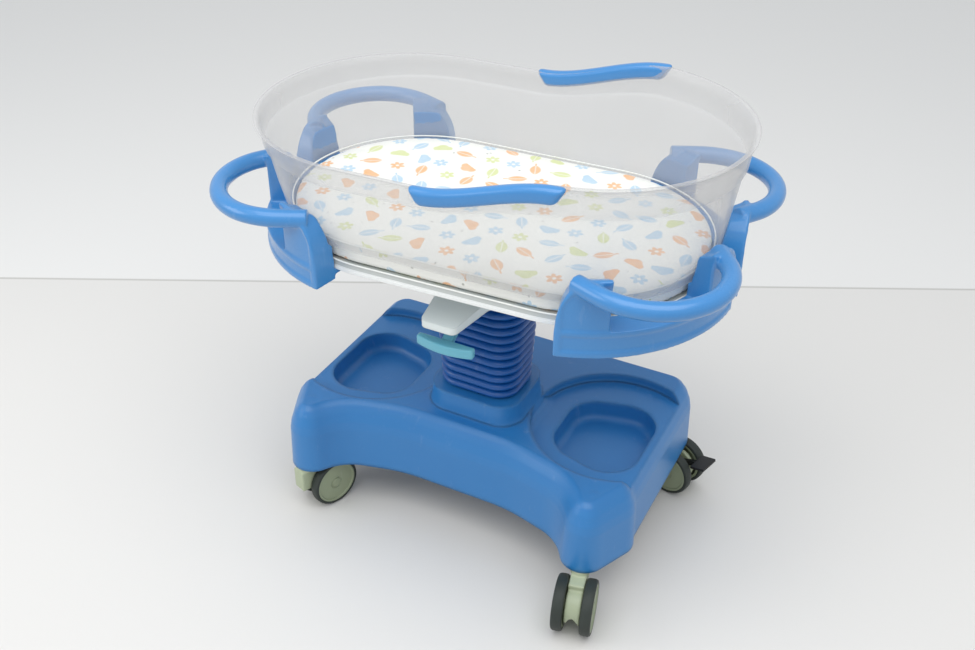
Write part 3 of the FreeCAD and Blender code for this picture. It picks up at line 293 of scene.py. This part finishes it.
def rubber(name, colour, roughness=0.55, grain=900, edge=0.0015):
    look = Look(name)
    bloom = look.noise(14, 5, None, 0.65)
    grit = look.noise(grain, 2)
    tone = look.mix((bloom - 0.4) * 0.9, rgb(*colour), rgb(*(min(255, int(c * 1.25) + 8) for c in colour)))
    look.set(baseColor=tone, roughness=roughness + (bloom - 0.5) * 0.2, specular=0.35,
             normal=look.relief(grit, 0.00015, 0.6, edge))
    return look.material


def frosted():
    # milky see-through wall: each face veils a little, more where it is seen edge on and above the shoulder
    look = Look("tubFrost")
    x, y, z = look.parts(look.place)
    step = ((x - tub["stepStart"]) / (tub["stepEnd"] - tub["stepStart"])).held()
    rim = step * step * (3 - 2 * step) * (tub["high"] - tub["low"]) + (tub["low"] - tub["bottom"])
    band = (((z - tub["bottom"]) / rim - tub["shoulder"]) * 60).held()
    facing = look.node("LayerWeight", {}, {"Blend": 0.35}, output="Facing")
    flow = look.noise(6, 3)
    fine = look.noise(700, 2)
    tone = look.mix(flow * 0.5, rgb(*tub["milk"]), rgb(*tub["milkDeep"]))
    look.set(baseColor=tone, roughness=0.36 + fine * 0.1, coat=0.2, coatRoughness=0.2,
             alpha=(tub["veil"] + band * 0.09 + facing ** 3 * 0.45 + (flow - 0.5) * 0.04).held(),
             normal=look.relief(fine, 0.00005, 0.2))
    return look.material


def platformBoard():
    # grey board, its grey partly painted shade under the mattress's overhang, whose bottom bead is painted
    # white as a highlight where it catches the light
    look = Look("platformBoard")
    x, y, z = look.parts(look.place)
    # the bottom bead is painted white: a painted highlight
    beadHighlight = ((0.5985 - z) * 3000).held()
    grain = look.noise(500, 3)
    tone = look.mix(look.noise(10, 3) * 0.5, rgb(196, 200, 197), rgb(184, 189, 186))
    look.set(baseColor=look.mix(beadHighlight, tone, rgb(236, 238, 236)), roughness=0.45 + grain * 0.1,
             normal=look.relief(grain, 0.0001, 0.5, 0.0012))
    return look.material


printed = {"pitch": 0.047, "size": 1.22, "sideRow": 0.455,
           "orange": (238, 170, 98), "blue": (168, 203, 226), "green": (208, 217, 138),
           "ground": (241, 240, 233), "strength": 0.78}


def printedCotton():
    # scattered leaves, clouds and daisies on white cotton, laid out on the piece's own flat pattern
    look = Look("mattressCotton")
    flat = look.node("UVMap", {"uv_map": "cut"})
    u, v, _ = look.parts(flat)
    u, v = u / printed["pitch"], v / printed["pitch"]
    row = v.work("FLOOR", v)
    u = u + row.work("MODULO", row, 2) * 0.5
    column = u.work("FLOOR", u)
    cell = look.node("CombineXYZ", {}, {0: column, 1: row, 2: 3.7})
    chance = look.node("TexWhiteNoise", {"noise_dimensions": "3D"}, {"Vector": cell}, output="Color")
    first, second, third = look.parts(chance)
    other = look.node("TexWhiteNoise", {"noise_dimensions": "3D"}, {"Vector": chance}, output="Value")
    angle = third * (2 * math.pi)
    sine, cosine = angle.work("SINE", angle), angle.work("COSINE", angle)
    a = u - column - 0.5 - (first - 0.5) * 0.22
    b = v - row - 0.5 - (second - 0.5) * 0.22
    x = (a * cosine - b * sine) / printed["size"]
    y = (a * sine + b * cosine) / printed["size"]

    def blot(middleX, middleY, radius, crisp=26):
        across, along = x - middleX, y - middleY
        reach = (across * across + along * along) ** 0.5
        return ((radius - reach) * crisp + 0.5).held()

    leaf = blot(0, 0.2, 0.37) * blot(0, -0.2, 0.37) * (1 - blot(0, 0, 0.3) * (0.02 - abs(y)).over(0) * 0.6)
    stem = abs(y).under(0.025) * (x - 0.3).over(0) * (x - 0.44).under(0)
    leaf = (leaf + stem).held()
    cloud = (blot(-0.16, 0.02, 0.15) + blot(0, 0.09, 0.19) + blot(0.17, 0.01, 0.14)).held() * (y + 0.09).over(0)
    turn = y.work("ARCTAN2", y, x)
    petals = abs(turn.work("COSINE", turn * 3)) * 0.12 + 0.12
    reach = (x * x + y * y) ** 0.5
    daisy = ((petals - reach) * 26 + 0.5).held() * (1 - blot(0, 0, 0.055))
    isLeaf, isCloud = other.under(0.38), other.over(0.66)
    shape = leaf * isLeaf + cloud * isCloud + daisy * (1 - isLeaf - isCloud)
    pick = (first * 7.3 + second * 3.1).work("FRACT", first * 7.3 + second * 3.1)
    ink = look.mix(pick.over(0.36), rgb(*printed["orange"]), rgb(*printed["blue"]))
    ink = look.mix(pick.over(0.70), ink, rgb(*printed["green"]))
    seed = blot(0.36, -0.3, 0.035) * other.over(0.5)
    wash = look.noise(60, 3)
    ground = look.mix(look.noise(9, 3) * 0.5, rgb(*printed["ground"]), rgb(232, 234, 230))
    tone = look.mix((shape * (printed["strength"] * 0.7 + wash * 0.4)).held(), ground, ink)
    tone = look.mix(seed * 0.6, tone, rgb(110, 112, 104))
    weft = look.node("TexWave", {"wave_type": "BANDS", "bands_direction": "X"}, {"Vector": flat, "Scale": 420})
    warp = look.node("TexWave", {"wave_type": "BANDS", "bands_direction": "Y"}, {"Vector": flat, "Scale": 420})
    crease = look.noise(16, 3)
    look.set(baseColor=tone, roughness=0.82, sheen=0.25, sheenRoughness=0.5, specular=0.25,
             normal=look.relief((weft + warp) * 0.1 + crease, 0.0015, 0.35))
    return look.material


finishes = {
    "base": moulded("baseBlue", (54, 132, 194), (40, 118, 182), 0.38, 0.2, edge=0.012, mottle=5),
    "handle": moulded("handleBlue", (70, 142, 204), (58, 132, 195), 0.28, 0.5, edge=0.0),
    "bellows": moulded("bellowsRubber", (10, 92, 168), (6, 78, 150), 0.32, 0.2, edge=0.0),
    "housing": moulded("housingWhite", (230, 236, 234), (218, 226, 224), 0.36, 0.15, edge=0.004),
    "lever": moulded("leverTeal", (112, 186, 204), (98, 172, 192), 0.34, 0.3, edge=0.004),
    "caster": moulded("casterGreen", (190, 198, 170), (172, 182, 152), 0.42, 0.05, edge=0.003),
    "hub": moulded("hubOlive", (160, 168, 140), (140, 150, 122), 0.45, 0.05, edge=0.0015),
    "tyre": rubber("tyreRubber", (48, 54, 50)),
    "pedal": rubber("pedalBlack", (24, 25, 26), 0.42),
    "guide": moulded("guidePlastic", (226, 228, 224), (206, 209, 205), 0.4, 0.0, edge=0.001),
    "steel": metal("paintedSteel", (150, 155, 160), 0.42, (1, 1, 0.05)),
    "bright": metal("brightSteel", (205, 208, 210), 0.24, (0.05, 1, 1)),
    "piping": moulded("pipingCotton", (241, 240, 233), (232, 234, 230), 0.8, 0.0, grain=900, edge=0.0),
    "tub": frosted(),
    "board": platformBoard(),
    "cotton": printedCotton(),
}
dressing = {
    "base_cover": "base", "base_beam": "steel", "cross_beams": "steel", "column_outer_tube": "steel",
    "column_inner_tube": "bright", "column_bush": "guide", "guide_ring": "guide",
    "gas_spring_cylinder": "pedal",
    "gas_spring_rod": "bright", "top_plate": "steel", "swivel_ring": "guide", "lever_housing": "housing",
    "lever_pivot_pin": "bright", "release_lever": "lever", "release_pin": "bright", "tilt_yoke": "steel",
    "tilt_washers": "guide", "tilt_pin": "bright", "tilt_bracket": "steel", "bed_support_plate": "steel",
    "bed_platform": "board", "caster_stems": "bright", "cover_screws": "bright", "column_bolts": "bright",
    "handle_screws": "bright", "bellows": "bellows", "tub": "tub", "mattress": "cotton", "grip_front": "handle",
    "grip_back": "handle",
}
for name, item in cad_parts.items():
    for start, finish in (("corner_handle", "handle"), ("caster_housing", "caster"), ("caster_axle", "bright"),
                          ("hub", "hub"), ("tyre", "tyre"), ("brake_pedal", "pedal")):
        if name.startswith(start):
            dressing[name] = finish
    item.data.materials.clear()
    item.data.materials.append(finishes[dressing[name]])
print("finishes ready")


# ---------- making pieces ----------
def addPiece(name, bm, finish, body=None, stands=(), sharp=40, weld=True):
    if weld:
        bmesh.ops.remove_doubles(bm, verts=bm.verts, dist=1e-6)
        bmesh.ops.recalc_face_normals(bm, faces=bm.faces)
    mesh = bpy.data.meshes.new(name)
    bm.to_mesh(mesh)
    bm.free()
    mesh.materials.append(finishes[finish])
    mesh.shade_smooth()
    mesh.set_sharp_from_angle(angle=math.radians(sharp))
    piece = bpy.data.objects.new(name, mesh)
    scene.collection.objects.link(piece)
    if body:
        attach(piece, body)
    if stands:
        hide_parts(*stands)
    return piece


def settle(piece):        # the piece's modifiers made part of its mesh
    graph = bpy.context.evaluated_depsgraph_get()
    mesh = bpy.data.meshes.new_from_object(piece.evaluated_get(graph))
    piece.modifiers.clear()
    old, piece.data = piece.data, mesh
    bpy.data.meshes.remove(old)
    return mesh


def chain(bm, points, closed=False):        # a few points joined by edges
    verts = [bm.verts.new(point) for point in points]
    edges = [bm.edges.new(pair) for pair in zip(verts, verts[1:])]
    if closed:
        edges.append(bm.edges.new((verts[-1], verts[0])))
    return verts + edges


def carry(bm, geometry, centre=(0, 0, 0), degrees=0.0, run=(0, 0, 0), steps=1):
    # sweeps the geometry round the centre, or along the run
    part = bmesh.ops.spin(bm, geom=geometry, cent=centre, axis=zAxis, dvec=Vector(run) / steps,
                          angle=math.radians(degrees), steps=steps, use_duplicate=False)
    return part["geom_last"]


def aroundBed(bm, section, reach, arcSteps=40, runSteps=16):
    # takes a section in front of the right arc centre once round a stadium
    geometry = carry(bm, section, (reach, 0, 0), 180, steps=arcSteps)
    geometry = carry(bm, geometry, run=(-2 * reach, 0, 0), steps=runSteps)
    geometry = carry(bm, geometry, (-reach, 0, 0), 180, steps=arcSteps)
    carry(bm, geometry, run=(2 * reach, 0, 0), steps=runSteps)
    bmesh.ops.remove_doubles(bm, verts=bm.verts, dist=1e-5)


# Tub: one thin wall with a small shoulder under its rim, which steps up to the right
def rimHeight(x):
    share = min(1, max(0, (x - tub["stepStart"]) / (tub["stepEnd"] - tub["stepStart"])))
    return tub["low"] + (tub["high"] - tub["low"]) * share * share * (3 - 2 * share)


def tubRadius(share):        # the wall's outer radius under the lip, from its foot to the rim
    return tub["foot"] + (tub["rim"] - tub["lip"] - tub["foot"]) * share


def makeTub():
    shoulder, wall, lip = tub["shoulder"], tub["wall"], tub["lip"]
    outer = [(-0.0015, 0.0), (0, 0.004), (0, 0.35), (-0.0022, shoulder - 0.018), (-0.0012, shoulder - 0.005),
             (0.0012, shoulder + 0.005), (0.0022, shoulder + 0.018), (0.0004, 0.9), (0, 0.976),
             (lip * 0.4, 0.981), (lip * 0.85, 0.984), (lip, 0.989), (lip, 0.996), (lip * 0.8, 1.0)]
    inner = [(-wall * 0.6, 1.0), (-wall, 0.994)] + [(out - wall, share) for out, share in reversed(outer[1:8])]
    bm = bmesh.new()
    points = [(tub["centre"], -tubRadius(share) - out, share) for out, share in outer + inner]
    aroundBed(bm, chain(bm, points, closed=True), tub["centre"], 44, 26)
    for vert in bm.verts:
        share = vert.co.z
        across = min(1, max(0, (vert.co.x + tub["centre"]) / (2 * tub["centre"])))
        vert.co.x += share * (across * tub["right"] - (1 - across) * tub["left"])
        vert.co.z = tub["bottom"] + share * (rimHeight(vert.co.x) - tub["bottom"])
    return addPiece("tub_wall", bm, "tub", "tub", ("tub",), 60)


makeTub()
print("tub made")

# Grips: bars over the long sides of the rim, cut slantwise at their ends
grip = {
    "rim": 0.2495, "out": 0.0145, "inward": 0.0085, "over": 0.002, "depth": 0.029, "slant": 0.017,
    "round": 0.0098, "overSlant": 0.7, "underSlant": 0.3, "underWidth": 0.9,
}


def makeGrip(name, way):
    bm = bmesh.new()
    bmesh.ops.create_cube(bm, size=1)
    length = tub["stepEnd"] - tub["stepStart"]
    width = grip["out"] + grip["inward"]
    bmesh.ops.scale(bm, verts=bm.verts, vec=(length, width, grip["depth"]))
    for vert in bm.verts:
        if vert.co.z > 0:
            vert.co.x += math.copysign(grip["slant"] * grip["overSlant"], vert.co.x)
        else:
            vert.co.x -= math.copysign(grip["slant"] * grip["underSlant"], vert.co.x)
            vert.co.y *= grip["underWidth"]
    bmesh.ops.bevel(bm, geom=list(bm.edges), affect="EDGES", offset=grip["round"], segments=5,
                    profile=0.5, material=-1)
    longEdges = [edge for edge in bm.edges if abs(edge.verts[0].co.x - edge.verts[1].co.x) > length / 2]
    bmesh.ops.subdivide_edges(bm, edges=longEdges, cuts=28)
    middle = (tub["stepStart"] + tub["stepEnd"]) / 2
    for vert in bm.verts:
        x = vert.co.x + middle
        y = vert.co.y + grip["rim"] + (grip["out"] - grip["inward"]) / 2
        z = vert.co.z + rimHeight(x) + grip["over"] - grip["depth"] / 2
        vert.co = (x, way * y, z)
    return addPiece(name + "_bar", bm, "handle", "tub", (name,), 50)


makeGrip("grip_front", -1)
makeGrip("grip_back", 1)
print("grips made")


# Corner handles: a band round the platform's corner, a fin at each of its ends and a hand loop between them
handle = {
    "centre": 0.149, "inner": 0.2225, "face": 0.2655, "lip": 0.268,
    "bottomLeft": 0.571, "bottomRight": 0.565, "ledge": 0.612, "top": 0.700,
    "start": 4, "end": 78, "fin": 18, "endWall": 2.2,
    "fallLength": 0.054, "fallHeight": 0.092, "squeeze": 0.004, "dip": 0.014,
    "border": 0.010, "borderDepth": 0.006, "bottomEdge": 0.010, "ledgeEdge": 0.008, "join": 0.001,
    "flange": (0.185, 0.579, 0.5898), "flangeJoin": 0.004, "voxel": 0.0022, "soft": 4,
    "bar": 0.0152, "barLevel": 0.6865,
    "loop": (        # degrees round the arc centre and metres from it
        (72, 0.250), (68, 0.268), (62, 0.300), (55, 0.326), (48, 0.339), (41, 0.342), (34, 0.336),
        (27, 0.319), (21, 0.294), (17, 0.266), (14, 0.250),
    ),
}


def moulding(name, voxel, rounds, bm, finish, body, stands, tool=None):
    # closed shapes that run into each other, made one and softened; the tool is cut away first
    piece = addPiece(name, bm, finish, None, stands)
    if tool:
        gap = piece.modifiers.new("gap", "BOOLEAN")
        gap.operation, gap.solver, gap.object = "DIFFERENCE", "EXACT", tool
    mould = piece.modifiers.new("mould", "REMESH")
    mould.mode, mould.voxel_size, mould.use_smooth_shade = "VOXEL", voxel, True
    soft = piece.modifiers.new("soft", "SMOOTH")
    soft.factor, soft.iterations = 0.5, rounds
    settle(piece).shade_smooth()
    if tool:
        bpy.data.objects.remove(tool)
    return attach(piece, body)


def endFall(angle):        # how high the moulding stands: it falls in a quarter ellipse towards both ends
    along = math.radians(min(angle - handle["start"], handle["end"] - angle)) * handle["lip"]
    share = 1 - min(1, max(0, along / handle["fallLength"]))
    return handle["top"] - handle["fallHeight"] * (1 - math.sqrt(1 - share * share))


def sector(bm, section, start, end, steps, shape=None):
    # a solid of a (radius, height) section, swept round the right arc centre from start to end degrees
    turn = math.radians(start)
    verts = [bm.verts.new((handle["centre"] + r * math.cos(turn), -r * math.sin(turn), z)) for r, z in section]
    face = bm.faces.new(verts)
    known = set(bm.verts) - set(verts)
    bmesh.ops.spin(bm, geom=[face, *verts, *face.edges], cent=(handle["centre"], 0, 0), axis=zAxis,
                   dvec=(0, 0, 0), angle=math.radians(start - end), steps=steps, use_duplicate=False)
    for vert in set(bm.verts) - known:
        across, along, z = vert.co.x - handle["centre"], -vert.co.y, vert.co.z
        radius, angle = math.hypot(across, along), math.degrees(math.atan2(along, across))
        if shape:
            radius, z = shape(radius, angle, z)
        limit = endFall(angle) - handle["squeeze"]
        if z > limit:        # what would stand over the fall is pressed into its last few millimetres
            z = limit + handle["squeeze"] * (z - limit) / (handle["top"] - limit)
        turn = math.radians(angle)
        vert.co = (handle["centre"] + radius * math.cos(turn), -radius * math.sin(turn), z)


def addFin(bm, start, end, outerEnd, bottom, shift):
    inner, face, lip, top, join = (handle[k] for k in ("inner", "face", "lip", "top", "join"))
    seat = tub["bottom"] - join / 2
    middle = (handle["ledge"] + top) / 2
    strip = face - handle["borderDepth"]

    def toTub(radius, angle, z):        # the inner face follows the tub, and the top falls towards it
        if radius < (inner + face) / 2:
            z -= handle["dip"] if z > middle else 0
            share = (min(z, endFall(angle)) - tub["bottom"]) / (tub["high"] - tub["bottom"])
            shifted = share * shift * math.cos(math.radians(angle))
            radius = tubRadius(share) + tub["clearance"] + shifted
        return radius, z

    def border(radius, angle, z):
        return radius, endFall(angle) - (0 if z > middle else handle["border"])

    low, high = sorted((outerEnd, outerEnd + math.copysign(handle["endWall"], start + end - 2 * outerEnd)))
    sector(bm, ((inner, bottom), (face, bottom), (face, seat), (inner, seat)), start, end, 14)
    sector(bm, ((inner, seat - join), (face, seat - join), (face, top), (inner, top)), start, end, 14, toTub)
    sector(bm, ((strip, bottom), (lip, bottom), (lip, top), (strip, top)), start, end, 14, border)
    sector(bm, ((inner, bottom), (lip, bottom), (lip, seat), (inner, seat)), low, high, 5)
    sector(bm, ((inner, seat - join), (lip, seat - join), (lip, top), (inner, top)), low, high, 5, toTub)


def loopBar():
    curve = bpy.data.curves.new("loop", "CURVE")
    curve.dimensions, curve.use_fill_caps = "3D", True
    curve.bevel_depth, curve.bevel_resolution = handle["bar"], 6
    line = curve.splines.new("NURBS")
    line.points.add(len(handle["loop"]) - 1)
    for point, (angle, radius) in zip(line.points, handle["loop"]):
        turn = math.radians(angle)
        point.co = (handle["centre"] + radius * math.cos(turn), -radius * math.sin(turn), handle["barLevel"], 1)
    line.order_u, line.use_endpoint_u, line.resolution_u = 3, True, 8
    holder = bpy.data.objects.new("loop", curve)
    scene.collection.objects.link(holder)
    mesh = bpy.data.meshes.new_from_object(holder.evaluated_get(bpy.context.evaluated_depsgraph_get()))
    bpy.data.objects.remove(holder)
    return mesh


def makeHandle(corner, sideX, sideY, bar):
    start, end, fin = handle["start"], handle["end"], handle["fin"]
    inner, face, lip, ledge = (handle[k] for k in ("inner", "face", "lip", "ledge"))
    bottom, shift = (handle["bottomRight"], tub["right"]) if sideX > 0 else (handle["bottomLeft"], tub["left"])
    bm = bmesh.new()
    sector(bm, ((inner, bottom), (face, bottom), (face, ledge), (inner, ledge)), start, end, 40)
    for low, high in ((bottom, bottom + handle["bottomEdge"]), (ledge - handle["ledgeEdge"], ledge)):
        sector(bm, ((inner, low), (lip, low), (lip, high), (inner, high)), start, end, 40)
    flangeInner, flangeLow, flangeHigh = handle["flange"]
    flangeOuter = inner + handle["flangeJoin"]
    sector(bm, ((flangeInner, flangeLow), (flangeOuter, flangeLow), (flangeOuter, flangeHigh),
                (flangeInner, flangeHigh)), start, end, 30)
    addFin(bm, start, start + fin, start, bottom, shift)
    addFin(bm, end - fin, end, end, bottom, shift)
    bm.from_mesh(bar)
    bmesh.ops.scale(bm, verts=bm.verts, vec=(sideX, sideY, 1))
    moulding("hand_loop_" + corner, handle["voxel"], handle["soft"], bm, "handle", "bed",
             ("corner_handle_" + corner,))


loopMesh = loopBar()
for corner, sideX, sideY in (("fl", -1, 1), ("fr", 1, 1), ("bl", -1, -1), ("br", 1, -1)):
    makeHandle(corner, sideX, sideY, loopMesh)
bpy.data.meshes.remove(loopMesh)
print("corner handles made")

# Bellows: soft folds between the collar and the top plate
bellows = {"bottom": 0.282, "top": 0.4946, "halfX": 0.078, "halfY": 0.0625, "corner": 0.043, "spread": 0.010,
           "fold": 0.012, "rings": 12, "wall": 0.0016}


def makeBellows():
    bm = bmesh.new()
    halfX, halfY, corner = bellows["halfX"], bellows["halfY"], bellows["corner"]
    geometry = [bm.verts.new((halfX - corner, -halfY, bellows["bottom"]))]
    for sideX, sideY, run in ((1, -1, (0, 1)), (1, 1, (-1, 0)), (-1, 1, (0, -1)), (-1, -1, (1, 0))):
        centre = (sideX * (halfX - corner), sideY * (halfY - corner), 0)
        geometry = carry(bm, geometry, centre, 90, steps=10)
        length = 2 * (halfY - corner) if run[0] == 0 else 2 * (halfX - corner)
        geometry = carry(bm, geometry, run=(run[0] * length, run[1] * length, 0), steps=3)
    bmesh.ops.remove_doubles(bm, verts=bm.verts, dist=1e-5)
    ring = list(bm.edges)
    slices = 10        # steps in each fold
    height = bellows["top"] - bellows["bottom"]
    total = bellows["rings"] * slices

    def grow(step):
        ridge = abs(math.sin(math.pi * step / slices)) ** 0.5        # 0 in a crease, 1 at a fold's crest
        return bellows["spread"] * step / total - bellows["fold"] * (1 - ridge)

    before = grow(0)
    for vert in bm.verts:
        vert.co.x *= (halfX + before) / halfX
        vert.co.y *= (halfY + before) / halfY
    for step in range(1, total + 1):
        made = bmesh.ops.extrude_edge_only(bm, edges=ring)["geom"]
        verts = [item for item in made if isinstance(item, bmesh.types.BMVert)]
        ring = [item for item in made if isinstance(item, bmesh.types.BMEdge)]
        now = grow(step)
        widen = ((halfX + now) / (halfX + before), (halfY + now) / (halfY + before), 1)
        bmesh.ops.scale(bm, verts=verts, vec=widen)
        bmesh.ops.translate(bm, verts=verts, vec=(0, 0, height / total))
        before = now
    bmesh.ops.transform(bm, verts=bm.verts, matrix=basePlace)
    piece = addPiece("bellows_skin", bm, "bellows", None, ("bellows",), 80)
    wall = piece.modifiers.new("wall", "SOLIDIFY")
    wall.thickness, wall.offset = bellows["wall"], -1
    settle(piece).shade_smooth()
    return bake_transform(piece)


makeBellows()
print("bellows made")

# Wheels: a dished hub in a rounded tyre
wheel = {"radius": 0.050, "tyre": 0.0068, "width": 0.020, "offset": 0.015, "trail": 0.044}
casters = {        # place on the base and the way that each one points
    "fl": (-0.288, -0.200, 70), "fr": (0.288, -0.200, -77),
    "bl": (-0.288, 0.203, 141), "br": (0.288, 0.203, -15),
}


def turned(bm, profile, steps=48):
    # a profile of (radius, along) points turned about the local Z axis
    geometry = chain(bm, [(r, 0, along) for r, along in profile])
    bmesh.ops.spin(bm, geom=geometry, cent=(0, 0, 0), axis=zAxis, dvec=(0, 0, 0), angle=2 * math.pi,
                   steps=steps, use_merge=True, use_duplicate=False)
    bmesh.ops.remove_doubles(bm, verts=bm.verts, dist=1e-6)


arch = {"half": 0.0112, "foot": 0.012, "height": 0.036, "start": -0.01, "end": 0.09}        # gap in a fork


def archTool(place):
    bm = bmesh.new()
    turns = [math.pi * step / 12 for step in range(13)]
    outline = [(arch["start"], arch["half"] * math.cos(turn), arch["foot"] + arch["height"] * math.sin(turn))
               for turn in turns]
    face = bm.faces.new([bm.verts.new(point) for point in outline])
    made = bmesh.ops.extrude_face_region(bm, geom=[face])["geom"]
    verts = [item for item in made if isinstance(item, bmesh.types.BMVert)]
    bmesh.ops.translate(bm, verts=verts, vec=(arch["end"] - arch["start"], 0, 0))
    bmesh.ops.recalc_face_normals(bm, faces=bm.faces)
    bmesh.ops.transform(bm, matrix=place, verts=bm.verts)
    mesh = bpy.data.meshes.new("arch")
    bm.to_mesh(mesh)
    bm.free()
    tool = bpy.data.objects.new("arch", mesh)
    scene.collection.objects.link(tool)
    return tool


def makeWheels():
    for corner, (x, y, heading) in casters.items():
        place = basePlace @ Matrix.Translation((x, y, 0)) @ Matrix.Rotation(math.radians(heading), 4, "Z")
        for letter, side in (("a", 1), ("b", -1)):
            lay = place @ Matrix.Translation((wheel["trail"], side * wheel["offset"], wheel["radius"]))
            lay = lay @ Matrix.Rotation(math.radians(-90 * side), 4, "X")
            name = "%s_%s" % (corner, letter)
            outer, width, seat = wheel["radius"], wheel["width"], wheel["radius"] - wheel["tyre"]
            bm = bmesh.new()
            turned(bm, [
                (seat, 0.0), (outer - 0.0045, 0.0), (outer - 0.0018, 0.0012), (outer - 0.0003, 0.0045),
                (outer, width / 2), (outer - 0.0003, width - 0.0045), (outer - 0.0018, width - 0.0012),
                (outer - 0.0045, width), (seat, width - 0.0004), (seat, 0.0),
            ])
            bmesh.ops.transform(bm, matrix=lay, verts=bm.verts)
            addPiece("wheel_tyre_" + name, bm, "tyre", "wheel_" + name, ("tyre_" + name,), 35)
            bm = bmesh.new()
            turned(bm, [
                (0, 0.0165), (0.0051, 0.0165), (0.0051, 0), (0.012, 0), (0.0125, 0.014),
                (seat - 0.0055, 0.014), (seat - 0.005, 0.0005), (seat - 0.0003, 0.0005),
                (seat - 0.0003, width - 0.0008), (seat - 0.0022, width - 0.0002),
                (seat - 0.0042, width - 0.0008), (seat - 0.0052, width - 0.0026),
                (seat - 0.014, width - 0.0022), (0.0135, width - 0.0016), (0.0125, width - 0.0030),
                (0.0105, width - 0.0030), (0.0095, width - 0.0006), (0.006, width - 0.0001), (0, width),
            ])
            bmesh.ops.transform(bm, matrix=lay, verts=bm.verts)
            addPiece("wheel_disc_" + name, bm, "hub", "wheel_" + name, ("hub_" + name,), 35)
        fork = bmesh.new()
        fork.from_mesh(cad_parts["caster_housing_" + corner].data)
        moulding("caster_fork_" + corner, 0.0014, 12, fork, "caster", "caster_" + corner,
                 ("caster_housing_" + corner,), archTool(place) if corner in ("fl", "fr") else None)


makeWheels()
print("casters made")

# Mattress: a foam pad in a printed cover, sewn round its top and bottom edges
mattress = {
    "bottom": 0.6063, "start": 0.0385, "radius": 0.2185, "reach": 0.149, "voxel": 0.006, "swell": 0.004,
    "seam": 0.0014, "seamOut": 0.0010, "topSeam": 0.0385, "bottomSeam": 0.0016,
}


def makeMattress():
    reach, radius = mattress["reach"], mattress["radius"]
    bm = bmesh.new()
    start = bm.verts.new((reach, -radius, mattress["bottom"] + 0.002))
    aroundBed(bm, [start], reach, 36, 14)
    bmesh.ops.contextual_create(bm, geom=list(bm.edges))
    made = bmesh.ops.extrude_face_region(bm, geom=list(bm.faces))["geom"]
    top = [item for item in made if isinstance(item, bmesh.types.BMVert)]
    bmesh.ops.translate(bm, verts=top, vec=(0, 0, mattress["start"] - 0.002))
    bmesh.ops.recalc_face_normals(bm, faces=bm.faces)
    rims = [edge for edge in bm.edges if abs(edge.verts[0].co.z - edge.verts[1].co.z) < 1e-6]
    bmesh.ops.bevel(bm, geom=rims, affect="EDGES", offset=0.004, segments=2, profile=0.5, material=-1)
    piece = addPiece("mattress_pad", bm, "cotton", None, ("mattress",))
    shell = piece.modifiers.new("shell", "REMESH")
    shell.mode, shell.voxel_size = "VOXEL", mattress["voxel"]
    settle(piece)
    rest = [vert.co.copy() for vert in piece.data.vertices]
    cloth = piece.modifiers.new("cloth", "CLOTH")
    cloth.settings.use_pressure = True
    cloth.settings.uniform_pressure_force = 4
    cloth.settings.effector_weights.gravity = 0
    for step in range(1, 21):
        scene.frame_set(step)
    mesh = settle(piece)
    scene.frame_set(1)
    for vert, old in zip(mesh.vertices, rest):
        move = vert.co - old
        if move.length > mattress["swell"]:
            vert.co = old + move * (mattress["swell"] / move.length)
        vert.co.z = max(vert.co.z, mattress["bottom"])
    finer = piece.modifiers.new("finer", "SUBSURF")
    finer.levels = finer.render_levels = 1
    mesh = settle(piece)
    mesh.shade_smooth()
    cut = mesh.uv_layers.new(name="cut")
    for face in mesh.polygons:
        for loop in face.loop_indices:
            x, y, z = mesh.vertices[mesh.loops[loop].vertex_index].co
            if abs(face.normal.z) > 0.6:
                spot = (x + 1, y + (1 if face.normal.z > 0 else 3))
            else:
                over = max(0, abs(x) - reach)
                turn = math.atan2(over, abs(y)) * radius
                along = min(abs(x), reach) + turn
                if y > 0:
                    along = 2 * (reach + radius * math.pi / 2) - along
                spot = (5 + math.copysign(along, x), z + printed["sideRow"])
            cut.data[loop].uv = spot
    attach(piece, "mattress")
    return piece


makeMattress()


def makeSeams():
    # a sewn cord round the top and the bottom edge of the cover
    for name, level in (("mattress_seam_top", mattress["topSeam"]),
                        ("mattress_seam_bottom", mattress["bottomSeam"])):
        bm = bmesh.new()
        radius, thick = mattress["radius"] + mattress["seamOut"], mattress["seam"]
        section = [(mattress["reach"], -radius + thick * math.cos(step * math.pi / 4),
                    mattress["bottom"] + level + thick * math.sin(step * math.pi / 4)) for step in range(8)]
        aroundBed(bm, chain(bm, section, closed=True), mattress["reach"], 48, 20)
        addPiece(name, bm, "piping", "mattress", (), 80)


makeSeams()
print("mattress made")
